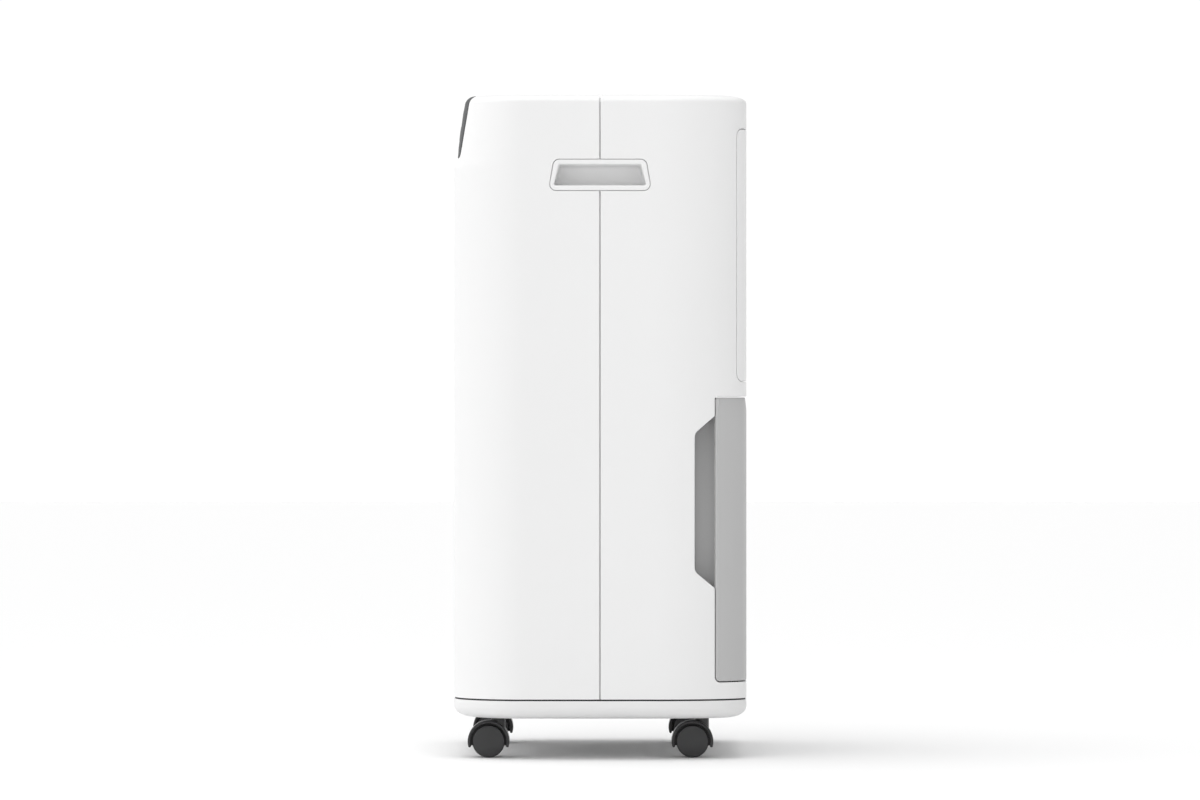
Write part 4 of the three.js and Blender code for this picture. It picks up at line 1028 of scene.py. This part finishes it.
def make_fascia():
    centres = [middle_mm(node)[0] for node in BUTTONS]
    openings = [window_outline(0.4, 3.2)] + [circle(x, 0, BUTTON_R + 0.4, 40) for x in centres]
    rows = runs((V_SLOPE, V_SLOPE + 12, 1.5), (V_SLOPE + 12, V_FOOT - 8, 7), (V_FOOT - 8, V_FLAT, 1.5),
                (V_FLAT, SKIN.top_v, 5))
    made = Moulding()
    made.sheet(on_fascia, fascia_outline(0.0), [slope_to_uv(o) for o in openings],
               grid=(plan_columns(SKIN, -145, 145, 2.6, 9), rows), thick=3.5, roll=0.45, step=3.0)
    made.object("fascia_panel", "housing", "fascia_grey", ["control_fascia"])

    made = Moulding()
    made.sheet(lambda x, up, d: on_slope(x, up, d + 0.3), window_outline(0, 2.8),
               grid=(spaced(-WINDOW_X, WINDOW_X, 6), spaced(-WINDOW_UP, WINDOW_UP, 5)), thick=2.7, roll=0.3,
               step=3.0)
    made.object("display_lens", "housing", "display_black", ["display_window"], weighted=True)

    cap = [(0, 0.45), (2, 0.47), (4, 0.55), (5.4, 0.68)]
    cap += arc_points((BUTTON_R - 1.0, -0.25), 1.0, 90, 0, 5) + [(BUTTON_R, -6.0), (0, -6.0)]
    for number, (node, x) in enumerate(zip(BUTTONS, centres), 1):
        made = Moulding()
        made.rings([on_slope(r[:, 0] + x, r[:, 1], -r[:, 2]) for r in lathe_rings(cap, 48)])
        made.object(f"button_cap_{number}", node, "button_grey", [node], weighted=True)


# ---- Rear intake panel ----
def make_filter_panel():
    u0 = SKIN.u_at_x(PANEL_HIGH.x)
    slots = []
    for row in range(SLOT_ROWS):
        low = v_of(SLOT_LOW_Z + row * SLOT_PITCH)
        for x0, x1 in ((-SLOT_HALF_X, -2.0), (2.0, SLOT_HALF_X)):
            a, b = sorted((SKIN.u_at_x(x0), SKIN.u_at_x(x1)))
            slots.append(rounded(rectangle(a, b, low, low + SLOT_PITCH / 2), 1.6, 4))
    made = Moulding()
    rows = spaced(v_of(PANEL_LOW.z), v_of(PANEL_HIGH.z), SLOT_PITCH)
    made.sheet(SKIN.at, panel_outline(0.0), slots, grid=(plan_columns(SKIN, u0, U_BACK - u0, 3.2, 12), rows),
               thick=3.0, roll=0.45, step=4.0, normal=SKIN.normal)
    made.object("intake_panel_cover", "intake_panel", "white_casing", ["filter_panel"])

    low, high = box_mm("filter_mesh")
    x_ends, z_ends = (low.x + 2, high.x - 2), (low.z + 2, high.z - 2)
    made = Moulding()
    for x in spaced(*x_ends, NET_PITCH):
        made.rings([strand_end(x, high.y + 0.3, z, 0, 1) for z in z_ends], capped=True)
    for z in spaced(*z_ends, NET_PITCH):
        made.rings([strand_end(x, high.y + 0.8, z, 1, 0) for x in x_ends], capped=True)
    made.object("filter_gauze", "intake_panel", "filter_net")


def strand_end(x, y, z, along_x, along_z):
    """The square end of one strand of the filter's net."""
    half = STRAND_HALF
    return [(x + a * along_z, y + b, z + a * along_x) for a, b in rectangle(-half, half, -half, half)]


# ---- Outlet grille ----
def make_outlet_grille():
    edge = 4
    x0, x1, y0, y1 = GRILLE_LOW.x + edge, GRILLE_HIGH.x - edge, GRILLE_LOW.y + edge, GRILLE_HIGH.y - edge
    slots = []
    for row in range(OUTLET_ROWS):
        y = (y0 + y1) / 2 + (row - (OUTLET_ROWS - 1) / 2) * OUTLET_PITCH
        for a, b in OUTLET_COLUMNS:
            slots.append(rounded(rectangle(a, b, y - OUTLET_HALF, y + OUTLET_HALF), 2.0, 4))
    made = Moulding()
    made.sheet(on_top, grille_plate(edge, 7.0, 8), slots, grid=(spaced(x0, x1, 12), spaced(y0, y1, 7.5)),
               thick=4.9, roll=0.45, step=5.0, normal=top_normal)
    made.sheet(flat_at("z", TOP_Z - 2.9, -1), grille_plate(0, 11.0, 8), [grille_plate(edge + 1, 6.0, 8)],
               thick=2.0, roll=0.2, step=8.0)
    made.object("outlet_grille_plate", "housing", "white_casing", ["outlet_grille"])


# ---- Water tank ----
def on_tank(u, v, depth):
    """The tank cover's face, whose upper edge leans in."""
    over = np.clip((np.asarray(v, float) - v_of(TANK_HIGH.z - TANK_TILT_RISE)) / TANK_TILT_RISE, 0, 1)
    return SKIN.at(u, v, np.asarray(depth, float) + TANK_TILT_IN * over**TANK_TILT_POWER)


def make_tank_cover():
    u0 = SKIN.u_rear_corner_y(TANK_LOW.y)
    v0, v1 = v_of(TANK_LOW.z), v_of(TANK_HIGH.z)
    made = Moulding()
    rows = runs((v0, v1 - TANK_TILT_RISE, 12), (v1 - TANK_TILT_RISE, v1, 1.7))
    made.sheet(on_tank, rounded(rectangle(u0, U_BACK - u0, v0, v1), [4.5, 4.5, 2.5, 2.5]),
               grid=(plan_columns(SKIN, u0, U_BACK - u0, 2.8, 10), rows), thick=3.0, roll=0.8, step=3.0)
    skin_x = float(SKIN.base(u0, v0)[0])
    for side in (1, -1):
        x0, x1 = sorted((side * (BUCKET_HIGH.x + 0.5), side * (skin_x - 0.9)))
        edge = rounded(rectangle(x0, x1, TANK_LOW.z + 0.6, TANK_HIGH.z - 0.8), 2.5)
        made.sheet(flat_at("y", TANK_LOW.y + 0.02), edge, thick=2.4, roll=0.4, step=5)
    made.object("tank_cover_panel", "tank", "tank_grey", ["tank_cover"], weighted=True)


def bucket_outline(shrink):
    """The bucket's plan, whose rear follows the housing's curve."""
    half, near_y = BUCKET_HIGH.x, BUCKET_LOW.y + BUCKET_R
    u0 = SKIN.u_at_x(half)
    rear = SKIN.at(np.linspace(u0, U_BACK - u0, 61), BAY_V, LEDGE_DEPTH)[:, :2]
    rear = rear[(rear[:, 0] < half - 2.5) & (rear[:, 0] > -half + 2.5)]
    corner_y = float(SKIN.at(u0, BAY_V, LEDGE_DEPTH)[1]) - 3.0
    points = [(half, corner_y), *map(tuple, rear), (-half, corner_y)]
    points += arc_points((-half + BUCKET_R, near_y), BUCKET_R, 180, 270, 8)
    points += arc_points((half - BUCKET_R, near_y), BUCKET_R, 270, 360, 8)
    return shifted(turned(points, True), shrink)


def make_bucket():
    z0, z1 = BUCKET_LOW.z, BUCKET_HIGH.z
    wall, foot = BUCKET_WALL, BUCKET_FOOT
    levels = arc_points((foot, z0 + foot), foot, -90, -180, 5)
    levels += [(0.0, z1 - 0.6), (0.6, z1), (wall - 0.4, z1), (wall, z1 - 0.4), (wall, z0 + foot + 1.0),
               (foot + 1.0, z0 + wall)]
    plans = [(bucket_outline(shrink), z) for shrink, z in levels]
    made = Moulding()
    made.rings([np.column_stack([plan, np.full(len(plan), z)]) for plan, z in plans], capped=True)
    # The bucket wears the lighter copy of the tank grey: painted light for the shaded grip pockets.
    made.object("tank_bucket_shell", "tank", "tank_clear", ["tank_bucket"], "tank_grey_painted_light", weighted=True)

    lid_z = box_mm("tank_lid")[1].z
    plan = [tuple(p) for p in bucket_outline(0.3)]
    holes = [rounded(rectangle(*sides), radius) for sides, radius in LID_HOLES]
    made = Moulding()
    made.sheet(flat_at("z", lid_z, -1), plan, holes, grid=(spaced(-120, 120, 16), spaced(50, 120, 14)),
               thick=3.0, roll=0.6, step=8)
    made.object("tank_lid_plate", "tank", "tank_grey", ["tank_lid"], weighted=True)


# ---- Coils ----
def make_coil(node):
    """Fins between two end plates, with the tubes' return bends outside them."""
    low, high = box_mm(node)
    y0, y1, z0, z1 = low.y + 1, high.y - 1, low.z + 2, high.z - 2
    made = Moulding()
    for x in np.arange(-FIN_END, FIN_END + 0.1, FIN_PITCH):
        made.sheet(flat_at("x", x), rectangle(y0, y1, z0, z1), thick=FIN_THICK, roll=0.05, step=400)
    for x in (-131, 129):
        made.sheet(flat_at("x", x), rectangle(y0 - 1, y1 + 1, z0 - 2, z1 + 2), thick=2, roll=0.2, step=60)
    for row in range(BEND_ROWS):
        z = z0 + 20 + row * (BEND_SPAN / (BEND_ROWS - 1))
        for side in (-1, 1) if row % 2 else (-1,):
            bend = [(124, -10), (128, -10), (133, -8), (135, 0), (133, 8), (128, 10), (124, 10)]
            route = [(side * out, (y0 + y1) / 2, z + up) for out, up in bend]
            made.rings(tube_rings(route, BEND_R), capped=True)
    made.object(f"{node}_fins", "housing", "aluminium", [node])


# ---- Casters ----
def make_hood(tag, centre):
    """A caster's hood: an arch of rounded section over the twin wheels, a web, a neck and a stem."""
    cx, cy, cz = centre
    mid, half = (HOOD_R + HOOD_INNER_R) / 2, (HOOD_R - HOOD_INNER_R) / 2
    tip = half / mid
    ends = (HOOD_TIP + tip, math.pi - HOOD_TIP - tip)
    leads = np.linspace(0.12, math.pi / 2, HOOD_TIP_STEPS)
    stops = [(HOOD_TIP + tip * (1 - math.cos(a)), math.sin(a)) for a in leads]
    far_stops = [(math.pi - a, squeeze) for a, squeeze in reversed(stops)]
    stops += [(a, 1.0) for a in np.linspace(*ends, 49)[1:-1]] + far_stops
    section = rounded(rectangle(-HOOD_HALF, HOOD_HALF, -half, half), 1.0, 4)
    rings = []
    for angle, squeeze in stops:
        narrow = 1 - 0.04 * (1 - squeeze)
        reach = [(along * narrow, mid + radial * squeeze) for along, radial in section]
        rings.append([(cx + x, cy + r * math.cos(angle), cz + r * math.sin(angle)) for x, r in reach])
    made = Moulding()
    made.rings(rings, capped=True)

    web = [(mid * math.cos(a), mid * math.sin(a)) for a in np.linspace(*ends, 41)]
    made.sheet(lambda y, z, d: np.stack([cx + WEB_HALF - d, cy + y, cz + z], -1), web, thick=2 * WEB_HALF,
               roll=0.3, step=40)
    foot = []
    for a in np.arange(40) * 2 * math.pi / 40:
        y = TRAIL + NECK_R * math.sin(a)
        foot.append((cx + NECK_R * math.cos(a), cy + y, cz + math.sqrt(mid**2 - y * y)))
    top_z = TRAY_LOW.z - 0.4
    neck = [(NECK_R, top_z - 2.0), *arc_points((NECK_R - NECK_EDGE, top_z - NECK_EDGE), NECK_EDGE, 0, 90, 4)]
    stem = [(4.0, top_z), (4.0, 53.6), (3.6, 54.0), (0.0, 54.0)]
    made.rings([foot] + lathe_rings(neck + stem, 40, "z", (cx, cy + TRAIL, 0)), capped=True)
    made.object(f"caster_fork_{tag}", f"caster_{tag}", "caster_black", [f"caster_hood_{tag}"], weighted=True)


def make_wheel(tag, end, centre):
    """One of a caster's twin wheels: a dished disc whose tread has rounded shoulders."""
    sign = 1 if end == "a" else -1
    edge, shoulder = 0.8, 1.5
    tyre = [(2.8, 10.2), (2.8, 3.0), (13.6, 3.0), *arc_points((WHEEL_R - edge, 3.0 + edge), edge, -90, 0, 4)]
    tyre += arc_points((WHEEL_R - shoulder, 12.35 - shoulder), shoulder, 0, 78, 6)
    tyre += [(12.2, 12.42), (8.0, 12.75), (4.0, 12.9), (0.0, 12.95), (0.0, 10.2)]
    made = Moulding()
    made.rings(lathe_rings([(r, sign * x) for r, x in tyre], 72, "x", centre), loop=True)
    key = f"{tag}_{end}"
    made.object(f"caster_tyre_{key}", f"wheel_{key}", "wheel_black", [f"caster_wheel_{key}"], weighted=True)


def make_casters():
    for tag, sx in (("fr", 1), ("fl", -1), ("rr", 1), ("rl", -1)):
        _, y, z = middle_mm(f"caster_wheel_{tag}_a")
        centre = (sx * STEM_X, y, z)
        make_hood(tag, centre)
        make_wheel(tag, "a", centre)
        make_wheel(tag, "b", centre)


# ---- Small outside pieces ----
def make_drain_plug():
    """A rubber plug with a dished face, a round flange and a stem."""
    face, edge = -HALF_W, 0.8
    profile = [(0, face + edge), (2.4, face + edge), (3.0, face + 0.6), (7.6, face)]
    profile += arc_points((8.2, face + edge), edge, -90, 0, 3)
    profile += [(9.0, face + 3.1), (8.6, face + 3.5), (3.2, face + 3.5)]
    profile += [(3.2, face + 12.4), (2.6, face + 13.0), (0, face + 13.0)]
    _, y, z = middle_mm("drain_plug")
    made = Moulding()
    made.rings(lathe_rings(profile, 48, "x", (0, y, z)))
    made.object("drain_bung", "drain_plug", "rubber", ["drain_plug"], weighted=True)


def make_cord_inlet():
    y0, y1 = (corner.y for corner in box_mm("cord_inlet"))
    x, _, z = middle_mm("cord_inlet")
    profile = [(3.0, y0), (4.5, y0), (4.5, y1 - 0.5), (4.0, y1), (3.4, y1), (3.0, y1 - 0.4)]
    made = Moulding()
    made.rings(lathe_rings(profile, 36, "y", (x, 0, z)), loop=True)
    made.object("cord_gland", "housing", "rubber", ["cord_inlet"], weighted=True)


make_camera()
make_floor()
make_light()
dress_cad_nodes()
make_front_casing()
make_rear_casing()
make_base_tray()
make_handle("right", 1)
make_handle("left", -1)
make_fascia()
make_filter_panel()
make_outlet_grille()
make_tank_cover()
make_bucket()
make_coil("evaporator")
make_coil("condenser")
make_casters()
make_drain_plug()
make_cord_inlet()
